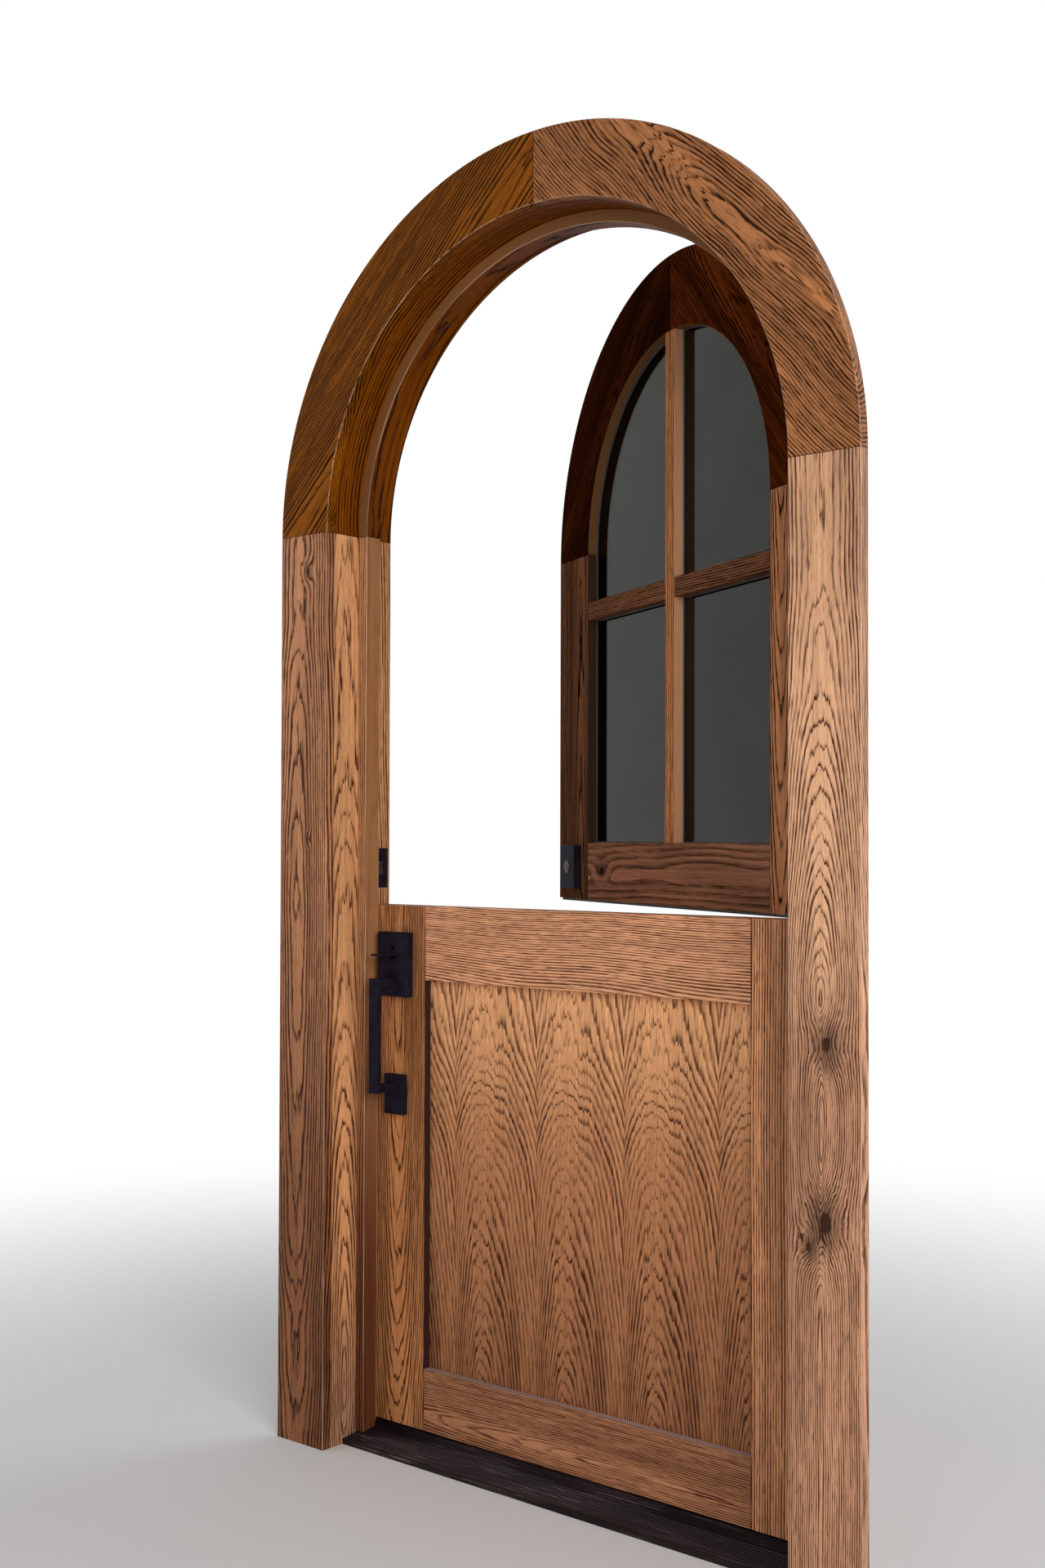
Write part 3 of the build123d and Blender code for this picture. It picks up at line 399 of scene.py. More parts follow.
oakMarksAndLight = {
    "knotDark": 0.4, "knotShare": 0.95, "knotStretch": (1.0, 0.15, 0.65), "knotHeight": 0.9,
    "knotNoise": (70, 70, 45), "knotWobble": 0.5, "knotCore": (0.55, 0.25), "knotHalo": (1.6, 0.4, 0.0, 0.6),
    "poreDark": 0.8,
    # fine lines: from where to where they fade in, and how strong they are; the side line tints side faces,
    # on some of them as painted light and painted shadow
    "joint": ((0.0011, 0.0004), 0.75), "sideLine": ((0.0007, 0.0004), 0.85), "jointDark": 0.25,
    # arrises: paler for wear and for a painted highlight along the sharp edges
    "arrisWearAndHighlight": (0.58, 0.36, 0.25), "arrisWidth": (0.0017, 0.0007),
    "dustTone": (0.36, 0.26, 0.25),
}


def bentBoard(tree, board, bend):
    # Bent pieces follow the arch: length is measured round it
    x, y, z = parted(tree, board)
    outward = minus(tree, longSide(tree, x, z), bend)
    return joined(tree, y, outward, times(tree, calc(tree, "ARCTAN2", z, x), bend))


def matchedLeaves(tree, board, leafWidth):
    # Veneer laid in matching leaves, side by side
    x, y, z = parted(tree, board)
    repeated = calc(tree, "FRACT", calc(tree, "DIVIDE", x, leafWidth))
    return joined(tree, times(tree, repeated, leafWidth), y, z)


def furrowHills(tree, ringBoard, furrows):
    # A furrow in the rings gives each cathedral a second peak
    hills = []
    for across, spread, height in furrows:
        apart = calc(tree, "DIVIDE", minus(tree, parted(tree, ringBoard)[0], across), spread)
        hills.append(hillOf(tree, apart, height))
    return hills


def knotHills(tree, board, knots):
    # The rings flow round a knot and its core is dark
    hills, stains = [], []
    for along, across, size in knots:
        offset = calcVector(tree, "SUBTRACT", board, (across, 0, along))
        stretched = calcVector(tree, "MULTIPLY", offset, oakMarksAndLight["knotStretch"])
        away = calc(tree, "DIVIDE", calcVector(tree, "LENGTH", stretched), size)
        wobble = noiseAt(tree, board, oakMarksAndLight["knotNoise"], detail=2.5)[0]
        share = plus(tree, away, times(tree, minus(tree, wobble, 0.5), oakMarksAndLight["knotWobble"]))
        hills.append(hillOf(tree, share, size * oakMarksAndLight["knotHeight"]))
        core = between(tree, share, *oakMarksAndLight["knotCore"])
        halo = between(tree, share, *oakMarksAndLight["knotHalo"])
        stains.append(calc(tree, "MAXIMUM", core, halo))
    return hills, stains


def folded(tree, operation, sockets):
    total = sockets[0]
    for socket in sockets[1:]:
        total = calc(tree, operation, total, socket)
    return total


def fineLine(tree, colour, reach, offset, width, share, tint):
    # A narrow line of another tint, as far out as the offset
    gap = calc(tree, "ABSOLUTE", minus(tree, reach, offset))
    return mixColour(tree, between(tree, gap, *width, 0.0, share), colour, tint)


def makeOak(name, changes):
    values = {**oakDefaults, **changes}
    material, tree, surface = newMaterial(name)
    place = shutPlace(tree, values["swung"])
    board = mapped(tree, place, values["centre"], values["turn"])
    if values["bend"]:
        board = bentBoard(tree, board, values["bend"])
    veneer = values["veneerWidth"]
    ringBoard = matchedLeaves(tree, board, veneer) if veneer else board
    figure = addNode(tree, "ShaderNodeGroup", node_tree=oakFigure)
    feed(tree, figure.inputs["Board"], ringBoard)
    for key in figureKeys:
        figure.inputs[socketName(key)].default_value = values[key]
    hills, stains = knotHills(tree, board, values["knots"])
    hills = furrowHills(tree, ringBoard, values["furrows"]) + hills
    if hills:
        feed(tree, figure.inputs["Bulge"], folded(tree, "ADD", hills))
    line, pore, fibre, broad = (figure.outputs[key] for key in ("Line", "Pore", "Fibre", "Broad"))

    # The wood's own colour
    light, dark, variation = values["light"], values["dark"], values["variation"]
    tone = plus(tree, times(tree, broad, 0.5), times(tree, fibre, 0.5))
    colour = ramp(tree, tone, ((0.36, scaled(light, 1 - variation)), (0.64, scaled(light, 1 + variation))))
    colour = mixColour(tree, times(tree, line, values["lineStrength"]), colour, dark)
    poreShare = times(tree, pore, values["poreStrength"])
    colour = mixColour(tree, poreShare, colour, scaled(dark, oakMarksAndLight["poreDark"]))
    if stains:
        knotShare = times(tree, folded(tree, "MAXIMUM", stains), oakMarksAndLight["knotShare"])
        colour = mixColour(tree, knotShare, colour, scaled(dark, oakMarksAndLight["knotDark"]))

    # What side tints with painted side light and shadow, painted shade and darkening along the length,
    # joints, wear with painted edge highlights, and dust do to it
    # Side faces tinted: painted shadow on the lower lock stile's side in the panel recess, painted light on
    # the upper leaf's inner stile and arch sides, and a tint on the stops' sides and the muntin posts
    if values["sideLightAndTint"]:
        axis, offset, tint = values["sideLightAndTint"]
        reach = doorRadius(tree, place) if axis == "edge" else parted(tree, place)[axis]
        colour = fineLine(tree, colour, reach, offset, *oakMarksAndLight["sideLine"], tint)
    for low, high, share, tint in values["shade"]:
        # Darker along the piece's length: painted shade at the left casing's foot and the right casing's top;
        # darker from the right casing's knots down, and towards the bottom on the jambs, stops and panel
        amount = times(tree, between(tree, parted(tree, board)[2], low, high), share)
        colour = mixColour(tree, amount, colour, tint, "MULTIPLY")
    for axis, offset in values["ends"]:
        # Dark where the board meets the next one
        tint = scaled(dark, oakMarksAndLight["jointDark"])
        colour = fineLine(tree, colour, parted(tree, place)[axis], offset, *oakMarksAndLight["joint"], tint)
    for reach, front in values["arrises"]:
        # Paler along its sharp edges: partly wear, partly a painted highlight where the eased edge catches
        # light
        sideways = minus(tree, doorRadius(tree, place), reach)
        deeper = minus(tree, parted(tree, place)[1], front)
        away = calcVector(tree, "LENGTH", joined(tree, sideways, deeper, 0.0))
        wornAndHighlit = between(tree, away, *oakMarksAndLight["arrisWidth"])
        wornAndHighlit = times(tree, wornAndHighlit, between(tree, fibre, 0.38, 0.58, 0.1, 0.55))
        colour = mixColour(tree, wornAndHighlit, colour, oakMarksAndLight["arrisWearAndHighlight"])
    if values["dust"]:
        # Dust lies on what faces up
        facing = parted(tree, addNode(tree, "ShaderNodeNewGeometry").outputs["Normal"])[2]
        dust = times(tree, between(tree, facing, 0.6, 0.9), values["dust"])
        dust = times(tree, dust, between(tree, broad, 0.2, 0.7, 0.6, 1.0))
        colour = mixColour(tree, dust, colour, oakMarksAndLight["dustTone"])

    # Lines and pores are duller than the wood between them, and a little hollow
    dull = plus(tree, times(tree, plus(tree, line, pore), 0.16), values["rough"])
    feedAll(tree, surface, {"Base Color": colour, "Roughness": dull, "Specular IOR Level": values["gloss"]})
    hollow = plus(tree, times(tree, pore, 0.6), times(tree, line, 0.4))
    height = minus(tree, times(tree, fibre, 0.15), hollow)
    addBump(tree, surface, height, 0.5, 0.0004)
    return material


spring = (2, doorway["springHeight"])
crown = (0, 0.0)
stileEdge = doorway["stileEdge"]
railJoints = ((0, -stileEdge), (0, stileEdge))
# the upper arches' inner side faces are tinted paler: painted light
archSideLight = ("edge", stileEdge, (0.17, 0.08, 0.034))
casingArrises = tuple((doorway[key], doorway["casingFront"]) for key in ("opening", "casingReach"))
jambArrises = casingArrises[:1]
stopArrises = tuple((doorway["stopReach"], doorway[key]) for key in ("stopFront", "stopBack"))
rightCasing = {
    "centre": (0.5175, -0.0873, 1.1), "seed": 3.2, "heart": -0.006, "depth": 0.045,
    "lean": 0.118, "bow": -0.163, "hold": -0.28, "sway": 0.026, "swayRate": 3.4, "drift": 0.014,
    "pitch": 0.0034, "jag": 0.0044, "lineStrength": 1.35,
    # its tones are lighter than the left casing's: painted light
    "light": (0.711, 0.383, 0.216), "dark": (0.075, 0.0233, 0.0112), "variation": 0.25,
    # painted shade towards its top; the second entry darkens it from the knots down
    "shade": ((0.08, 0.42, 0.8, (0.74, 0.72, 0.7)), (-0.22, -0.38, 0.8, (0.74, 0.68, 0.68))),
    "knots": ((-0.335, 0.004, 0.022), (-0.575, 0.002, 0.027), (-0.61, -0.024, 0.012)),
    "ends": (spring,), "arrises": casingArrises,
}
leftCasing = {
    "centre": (-0.5175, -0.0873, 0.8), "seed": 8.1, "heart": -0.012, "depth": 0.03,
    "lean": -0.012, "bow": 0.045, "sway": 0.05, "swayRate": 3.4, "drift": 0.014,
    "pitch": 0.0046, "jag": 0.0062, "lineStrength": 1.7, "poreStrength": 1.0,
    # its tones are darker than the right casing's: painted shade
    "light": (0.498, 0.219, 0.1035), "dark": (0.0624, 0.0176, 0.0068), "variation": 0.36,
    "knots": ((0.705, 0.01, 0.01), (0.24, 0.012, 0.006)),
    # painted shade, deepening towards its foot
    "shade": ((0.2, -0.5, 0.8, (0.38, 0.3, 0.26)),),
    "ends": (spring,), "arrises": casingArrises,
}
leftJamb = {
    "centre": (-0.46, 0.0, 0.8), "turn": (0, 0, 90), "seed": 5.5, "heart": -0.037, "depth": 0.05,
    "lean": 0.062, "bow": -0.02, "swayRate": 2.2, "drift": 0.012, "pitch": 0.0048, "jag": 0.0066,
    "light": (0.633, 0.3, 0.132), "dark": (0.0813, 0.0209, 0.0059),
    "shade": ((-0.5, -0.82, 0.85, (0.62, 0.68, 0.98)),),
    "ends": (spring,), "arrises": jambArrises,
}
leftStop = {
    **leftJamb, "centre": (-0.45, 0.005, 0.8), "seed": 9.3, "heart": 0.012, "depth": 0.05,
    "lean": 0.01, "bow": 0.0, "light": (0.527, 0.258, 0.117), "arrises": stopArrises,
    "sideLightAndTint": (0, -doorway["stopReach"], (0.3, 0.125, 0.05)),
    "shade": ((0.02, -0.58, 0.95, (0.3, 0.2, 0.17)),),
}
upperPost = {
    "centre": (0.0, 0.024, 1.4), "heart": 0.05, "lean": 0.02, "swayRate": 1.4,
    "light": (0.638, 0.255, 0.0967), "dark": (0.0268, 0.0085, 0.0033),
}
boards = {
    "casing_left_leg": leftCasing,
    "casing_right_leg": rightCasing,
    # The arch pieces are toned much darker than the legs: painted shade over the arch
    "casing_left_arch": {
        "centre": (-0.36, -0.0873, 1.92), "turn": (0, 45, 0), "seed": 12.4, "heart": 0.12, "lean": 0.02,
        "swayRate": 1.4, "pitch": 0.005, "jag": 0.004,
        "lineStrength": 1.6, "poreStrength": 1.0, "gloss": 0.04,
        "light": (0.2485, 0.0699, 0.0024), "dark": (0.016, 0.0045, 0.0005), "variation": 0.32,
        "ends": (spring, crown), "arrises": casingArrises,
    },
    "casing_right_arch": {
        "centre": (0.36, -0.0873, 1.92), "turn": (0, -45, 0), "seed": 17.9, "heart": 0.01, "depth": 0.035,
        "lean": 0.06, "bow": 0.05, "sway": 0.09, "swayRate": 3.0, "drift": 0.07,
        "pitch": 0.0046, "jag": 0.012, "lineStrength": 1.3, "poreStrength": 1.0, "gloss": 0.05,
        "light": (0.385, 0.151, 0.0558), "dark": (0.0211, 0.0053, 0.0013), "variation": 0.32,
        "ends": (spring, crown), "arrises": casingArrises,
    },
    "jamb_left_leg": leftJamb,
    "jamb_right_leg": {
        **leftJamb, "centre": (0.46, 0.0, 0.8), "seed": 6.4, "light": (0.385, 0.166, 0.0683),
    },
    # toned dark: painted shade over the arch
    "jamb_arch": {
        "centre": (0, 0, doorway["springHeight"]), "bend": doorway["opening"], "seed": 2.7, "heart": 0.03,
        "depth": 0.06, "lean": 0.01, "swayRate": 1.2, "pitch": 0.0052, "jag": 0.004, "lineStrength": 1.2,
        "light": (0.2045, 0.0515, 0.0016), "dark": (0.0315, 0.0074, 0.0011), "variation": 0.38,
        "gloss": 0.04, "ends": (spring,), "arrises": jambArrises,
    },
    "stop_left_leg": leftStop,
    "stop_right_leg": {
        **leftStop, "centre": (0.45, 0.005, 0.8), "seed": 4.3, "light": (0.385, 0.166, 0.0735),
    },
    # toned dark: painted shade over the arch
    "stop_arch": {
        "centre": (0, 0, doorway["springHeight"]), "bend": 0.4504, "seed": 7.7, "heart": 0.01,
        "lean": 0.01, "swayRate": 1.4, "pitch": 0.0046, "jag": 0.004,
        "light": (0.1661, 0.0407, 0.0016), "dark": (0.0245, 0.0061, 0.0011), "variation": 0.38,
        "ends": (spring,), "arrises": stopArrises[:1],
        "sideLightAndTint": (1, doorway["stopFront"], (0.23, 0.1, 0.035)),
    },
    "lower_lock_stile": {
        "centre": (-0.393, 0.024, 0.48), "seed": 21.0, "depth": 0.03, "lean": -0.045, "bow": 0.035,
        "sway": 0.02, "drift": 0.014, "pitch": 0.0034, "jag": 0.004,
        "light": (0.479, 0.194, 0.0708), "dark": (0.0563, 0.0139, 0.0043), "variation": 0.32,
        # its side face in the panel recess is tinted dark: painted shadow
        "ends": railJoints[:1], "sideLightAndTint": (*railJoints[0], (0.075, 0.035, 0.035)),
    },
    "lower_hinge_stile": {
        "centre": (0.393, 0.024, 0.48), "seed": 24.6, "heart": 0.11, "depth": 0.07, "lean": 0.012,
        "swayRate": 1.2, "pitch": 0.0042,
        "light": (0.805, 0.363, 0.173), "dark": (0.0687, 0.0194, 0.0079), "variation": 0.28,
        "ends": railJoints[1:],
    },
    "lower_top_rail": {
        "centre": (0.0, 0.024, 0.86), "turn": (0, 90, 0), "seed": 27.1, "heart": 0.1, "depth": 0.08,
        "lean": 0.03, "sway": 0.05, "swayRate": 1.6, "drift": 0.03, "pitch": 0.0032, "jag": 0.004,
        "light": (0.806, 0.374, 0.194), "dark": (0.0811, 0.0278, 0.0112), "variation": 0.22,
        "ends": railJoints,
    },
    "lower_bottom_rail": {
        "centre": (-0.26, 0.024, 0.09), "turn": (0, 90, 0), "seed": 31.3, "heart": 0.028, "depth": 0.016,
        "lean": -0.05, "bow": 0.03, "sway": 0.02, "pitch": 0.0036,
        "light": (0.427, 0.184, 0.088), "dark": (0.0624, 0.0157, 0.0056), "variation": 0.28,
        "ends": railJoints, "dust": 0.9,
    },
    "lower_panel": {
        "centre": (-0.269, 0.038, 0.45), "seed": 35.7, "veneerWidth": 0.1775, "heart": 0.055, "depth": 0.056,
        "lean": 0.13, "sway": 0.026, "swayRate": 3.6, "drift": 0.01, "pitch": 0.0038, "jag": 0.0085,
        "skew": 0.42, "lineStrength": 1.25, "poreStrength": 1.0,
        "furrows": ((0.032, 0.009, 0.001), (0.09, 0.01, 0.0022), (0.135, 0.01, 0.0012)),
        "light": (0.789, 0.379, 0.172), "dark": (0.1061, 0.0326, 0.0122), "variation": 0.22,
        "shade": ((0.34, 0.02, 0.9, (0.58, 0.49, 0.46)), (0.05, -0.32, 0.85, (0.62, 0.6, 0.58))),
    },
    # The upper leaf's stiles, arches and rail are toned dark: painted shade of the open leaf
    "upper_lock_stile": {
        "centre": (-0.393, 0.024, 1.2), "seed": 41.9, "heart": 0.03,
        "lean": 0.02, "swayRate": 1.3, "pitch": 0.0038,
        "light": (0.1484, 0.0609, 0.0301), "dark": (0.0089, 0.0025, 0.0009), "variation": 0.5,
        # its inner side face is tinted paler: painted light
        "ends": (spring, railJoints[0]), "sideLightAndTint": ("edge", stileEdge, (0.19, 0.1, 0.065)),
    },
    "upper_hinge_stile": {
        "centre": (0.393, 0.024, 1.2), "seed": 44.2, "heart": -0.03, "depth": 0.04, "lean": -0.045,
        "sway": 0.04, "pitch": 0.0038, "jag": 0.004,
        "light": (0.51, 0.212, 0.0965), "dark": (0.0268, 0.0075, 0.0027),
        "ends": (spring, railJoints[1]),
    },
    "upper_lock_arch": {
        "centre": (-0.28, 0.024, 1.84), "turn": (0, 45, 0), "seed": 47.5, "heart": 0.05,
        "lean": 0.04, "sway": 0.05, "jag": 0.005,
        "light": (0.0389, 0.0085, 0.0018), "dark": (0.0066, 0.0015, 0.0004), "variation": 0.55,
        "ends": (spring, crown), "sideLightAndTint": archSideLight,
    },
    "upper_hinge_arch": {
        "centre": (0.28, 0.024, 1.84), "turn": (0, -45, 0), "seed": 50.8, "depth": 0.04,
        "lean": 0.06, "sway": 0.06, "drift": 0.04, "jag": 0.006,
        "light": (0.1164, 0.024, 0.0044), "dark": (0.0083, 0.002, 0.0007), "variation": 0.55,
        "ends": (spring, crown), "sideLightAndTint": archSideLight,
    },
    "upper_bottom_rail": {
        "centre": (-0.27, 0.024, 0.985), "turn": (0, 90, 0), "seed": 53.1, "depth": 0.025,
        "lean": -0.03, "bow": 0.03, "sway": 0.05, "drift": 0.05, "pitch": 0.0105, "jag": 0.009,
        "lineStrength": 0.85, "poreStrength": 0.5,
        "light": (0.2935, 0.1295, 0.0736), "dark": (0.0149, 0.0045, 0.0018), "variation": 0.45,
        "knots": ((0.0, 0.0, 0.017),), "ends": railJoints,
    },
}
# the muntin bars and the glazing beads below are toned dark: painted shade of the open leaf
for side in ("outer", "inner"):
    boards[side + "_muntin_post"] = {
        **upperPost, "seed": 74.6, "sideLightAndTint": (0, doorway["postHalf"], (0.72, 0.37, 0.21)),
    }
    boards[side + "_muntin_bars"] = {
        **upperPost, "seed": 78.2, "turn": (0, 90, 0), "light": (0.214, 0.091, 0.0441),
    }
boards["glazing_beads"] = {**upperPost, "seed": 66.0, "light": (0.2354, 0.107, 0.0525)}
for name, settings in boards.items():
    settings["swung"] = name.startswith(("upper_", "outer_", "inner_", "glazing_"))
    if settings["swung"]:
        settings["gloss"] = 0.0
    first, *others = name.split("_")
    dress(name, makeOak(first + camelWords("_".join(others)) + "Oak", settings))
print("stage 3: oak on", len(boards), "pieces")


# Metal, rubber, glass and the sill
metalSettings = {
    "blackIron": {
        "colour": (0.012, 0.0102, 0.0172), "metallic": 0.0, "gloss": 0.025, "rough": 0.42, "wear": 0.35,
        "grain": (900, 900, 900),
        "nodes": (
            "deadbolt_strike", "latch_strike", "hinge_frame_halves", "hinge_pins", "frame_screws",
            "lower_hinge_halves", "handle_plate", "foot_plate", "handle_grip", "inner_rose", "join_keeper",
            "lower_leaf_screws", "latch_case", "thumb_lever", "inner_lever", "upper_hinge_halves",
            "deadbolt_case", "deadbolt_plate", "deadbolt_rose", "join_plate", "upper_leaf_screws",
            "thumbturn", "join_rod",
        ),
    },
    "boltSteel": {
        "colour": (0.42, 0.4, 0.37), "metallic": 1.0, "gloss": 0.5, "rough": 0.33, "wear": 0.2,
        "grain": (300, 1800, 1800), "nodes": ("deadbolt", "latch_bolt"),
    },
    "agedBronze": {
        "colour": (0.06, 0.04, 0.028), "metallic": 1.0, "gloss": 0.5, "rough": 0.4, "wear": 0.3,
        "grain": (700, 700, 700), "nodes": ("deadbolt_cylinder", "key_plug"),
    },
}


def makeMetal(name, settings):
    material, tree, surface = newMaterial(name)
    place = objectPlace(tree)
    cloud = noiseAt(tree, place, scaled(settings["grain"], 0.06), detail=3.0)[0]
    fine = noiseAt(tree, place, settings["grain"], detail=2.0)[0]
    dimmer, brighter = (scaled(settings["colour"], 1 + side * settings["wear"]) for side in (-1, 1))
    spread = times(tree, minus(tree, cloud, 0.5), 0.25)
    feedAll(tree, surface, {
        "Base Color": ramp(tree, cloud, ((0.3, dimmer), (0.7, brighter))), "Metallic": settings["metallic"],
        "Roughness": plus(tree, spread, settings["rough"]), "Specular IOR Level": settings["gloss"],
    })
    addBump(tree, surface, fine, 0.12, 0.0001)
    return material


metals = {name: makeMetal(name, settings) for name, settings in metalSettings.items()}
for name, metal in metals.items():
    for node in metalSettings[name]["nodes"]:
        dress(node, metal)

rubberSettings = {
    "clean": (0.01, 0.01, 0.011), "dusty": (0.03, 0.028, 0.027), "rough": (0.6, 0.8),
    "nodes": ("frame_seal", "upper_seal", "lower_sweep"),
}


def makeRubber(settings):
    material, tree, surface = newMaterial("sealRubber")
    place = objectPlace(tree)
    dust = noiseAt(tree, place, (60, 60, 60), detail=3.0)[0]
    colour = ramp(tree, dust, ((0.35, settings["clean"]), (0.75, settings["dusty"])))
    rough = between(tree, dust, 0.3, 0.7, *settings["rough"])
    feedAll(tree, surface, {"Base Color": colour, "Roughness": rough})
    addBump(tree, surface, noiseAt(tree, place, (900, 900, 900))[0], 0.2, 0.0002)
    return material


sealRubber = makeRubber(rubberSettings)
for node in rubberSettings["nodes"]:
    dress(node, sealRubber)

sillSettings = {
    "dark": (0.006, 0.003, 0.004), "pale": (0.018, 0.0095, 0.011), "dust": (0.3, 0.24, 0.25),
    "gloss": 0.15, "streaks": (11, 420, 420), "patches": (5, 30, 30),
    # each piece's finish and how much dust lies on it
    "pieces": {
        "sill_deck": ("sillDeckBronze", 0.5), "sill_riser": ("sillRiserBronze", 0.3),
        "sill_base": ("sillCore", 0.1),
    },
}


def makeSillFinish(name, dustShare, settings):
    # Dark bronze with dust that lies in streaks along the ribs
    material, tree, surface = newMaterial(name)
    place = objectPlace(tree)
    streaks = noiseAt(tree, place, settings["streaks"], detail=4.0, rough=0.7)[0]
    patches = noiseAt(tree, place, settings["patches"], (3.1, 0, 0), detail=3.0)[0]
    lying = between(tree, patches, 0.42, 0.65)
    dust = times(tree, between(tree, streaks, 0.5, 0.72), lying, clamp=True)
    dust = times(tree, dust, dustShare)
    metal = ramp(tree, patches, ((0.3, settings["dark"]), (0.7, settings["pale"])))
    feedAll(tree, surface, {
        "Base Color": mixColour(tree, dust, metal, settings["dust"]),
        "Roughness": calc(tree, "MULTIPLY_ADD", dust, 0.4, 0.38), "Specular IOR Level": settings["gloss"],
    })
    addBump(tree, surface, streaks, 0.25, 0.0002)
    return material


for node, (name, dustShare) in sillSettings["pieces"].items():
    dress(node, makeSillFinish(name, dustShare, sillSettings))

glassSettings = {
    # the refraction is lower than real glass has, so that pale surroundings don't show in it
    "refraction": 1.22, "rough": (0.02, 0.05),
    # the pane is tinted nearly black: painted shade, standing for a dark room seen through it
    "dark": (0.008, 0.0085, 0.0055), "pale": (0.014, 0.0145, 0.011),
}


def makeGlass(settings):
    material, tree, surface = newMaterial("shadedPaneGlass")
    film = noiseAt(tree, objectPlace(tree), (7, 7, 7), detail=2.0)[0]
    colour = ramp(tree, film, ((0.3, settings["dark"]), (0.7, settings["pale"])))
    feedAll(tree, surface, {
        "Base Color": colour, "Roughness": between(tree, film, 0.3, 0.7, *settings["rough"]),
        "IOR": settings["refraction"], "Transmission Weight": 1.0,
    })
    return material


dress("glass", makeGlass(glassSettings))
print("stage 4: metal, rubber, glass and sill finishes")


# New pieces: grids of points made into closed meshes
sharpAngle = radians(35)


def gathered(parts):
    # Several surfaces as one: each one's faces count on from the points before it
    vertices, faces, count = [], [], 0
    for points, groups in parts:
        vertices.append(points)
        for cells in groups:
            faces += (cells + count).tolist()
        count += len(points)
    return np.concatenate(vertices), faces


def placePiece(name, mesh, material, bodyName):
    mesh.polygons.foreach_set("use_smooth", [True] * len(mesh.polygons))
    mesh.set_sharp_from_angle(angle=sharpAngle)
    mesh.materials.clear()
    mesh.materials.append(material)
    piece = newObject(name, mesh)
    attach(piece, bodyName)
    return piece


def meshPiece(name, parts, material, bodyName):
    vertices, faces = gathered(parts)
    mesh = bpy.data.meshes.new(name)
    mesh.from_pydata(vertices.tolist(), [], faces)
    return placePiece(name, mesh, material, bodyName)


def roundPoints(radius, angle, height):
    return np.stack((radius * np.cos(angle), radius * np.sin(angle), height), -1)


def closedGrid(grid):
    # Rows of points that each go round an axis, with a pole at either end
    rows, columns = grid.shape[:2]
    vertices = np.concatenate((grid.reshape(-1, 3), grid[:1].mean(1), grid[-1:].mean(1)))
    column = np.arange(columns)
    after = (column + 1) % columns
    low = np.arange(rows - 1)[:, None] * columns
    sides = np.stack((low + column, low + after, low + columns + after, low + columns + column), -1)
    top = np.stack((np.full(columns, rows * columns), after, column), -1)
    last = (rows - 1) * columns
    end = np.stack((np.full(columns, rows * columns + 1), last + column, last + after), -1)
    return vertices, (sides.reshape(-1, 4), top, end)


# Wood screws with a cross in the head and a thread
screwSettings = {
    "headRadius": 0.00395, "shankRadius": 0.002, "tipRadius": 0.0003,
    "threadPitch": 0.0016, "threadDepth": 0.00045, "threadRunIn": 0.003, "rowsPerTurn": 4,
    "armHalf": 0.0005, "armLength": 0.0021, "crossDepth": 0.0013, "crossFall": (1.15, 0.5),
    # where the rings of the head lie: shares of an arm's half width, of its length and of the head
    "crossRings": (0.3, 0.9, 1.7), "armRings": (0.75, 0.98, 1.04), "headRings": (0.75, 1.0),
    # points across an arm, as shares of its half width there
    "armSteps": (-1.15, -0.85, 0, 0.85, 1.15),
    "jambLength": 0.014, "stileLength": 0.028, "rollStep": 0.7,
}
trimScrew = {
    **screwSettings, "headRadius": 0.00245, "shankRadius": 0.0024, "armLength": 0.0017, "threadDepth": 0.0003,
}


def crossHead(settings):
    # Rings round the head, each a function of the ring and of the angle round it: inside the arms
    # of the cross the depth falls evenly from its middle out, and the arms keep one width
    half, arm, head = settings["armHalf"], settings["armLength"], settings["headRadius"]
    shares = [np.array(settings[key]) for key in ("crossRings", "armRings", "headRings")]
    rings = np.concatenate((half * shares[0], arm * shares[1], head * shares[2]))
    edge = np.arcsin(np.clip(half / rings, 0, 0.6))[:, None]
    step = np.concatenate((edge * np.array(settings["armSteps"]), np.full(edge.shape, pi / 4)), 1)
    angle = (np.arange(4)[None, :, None] * pi / 2 + step[:, None, :]).reshape(len(rings), -1)
    inArm = np.tile(np.array((0, 1, 1, 1, 0, 0)), 4)[None, :]
    inCross = (rings[:, None] <= arm) * inArm + (rings[:, None] < half) * (1 - inArm)
    start, fall = settings["crossFall"]
    depth = settings["crossDepth"] * (start - fall * (rings / arm)[:, None]) * inCross
    return np.broadcast_to(rings[:, None], angle.shape), angle, depth


def screwGrid(settings, length):
    # The head, then a cone, then a shank whose radius rises and falls with
    # depth / pitch - angle / full turn, and a blunt tip
    radius, angle, depth = crossHead(settings)
    shank, pitch = settings["shankRadius"], settings["threadPitch"]
    cone = settings["headRadius"] - shank
    turns = (length - cone - shank) / pitch
    down = np.linspace(cone, length - shank, int(turns * settings["rowsPerTurn"]))[:, None]
    shankAngle = np.broadcast_to(angle[-1], (len(down), angle.shape[1]))
    wave = np.abs(((down / pitch - shankAngle / (2 * pi)) % 1) * 2 - 1)
    fade = np.clip((down - cone) / settings["threadRunIn"], 0, 1)
    body = shank - settings["threadDepth"] * (1 - wave) * fade
    tip = np.full((1, angle.shape[1]), settings["tipRadius"])
    radius = np.concatenate((radius, body, tip))
    angle = np.concatenate((angle, shankAngle, angle[-1:]))
    depth = np.concatenate((depth, np.broadcast_to(down, body.shape), np.full_like(tip, length)))
    return roundPoints(radius, angle, depth)


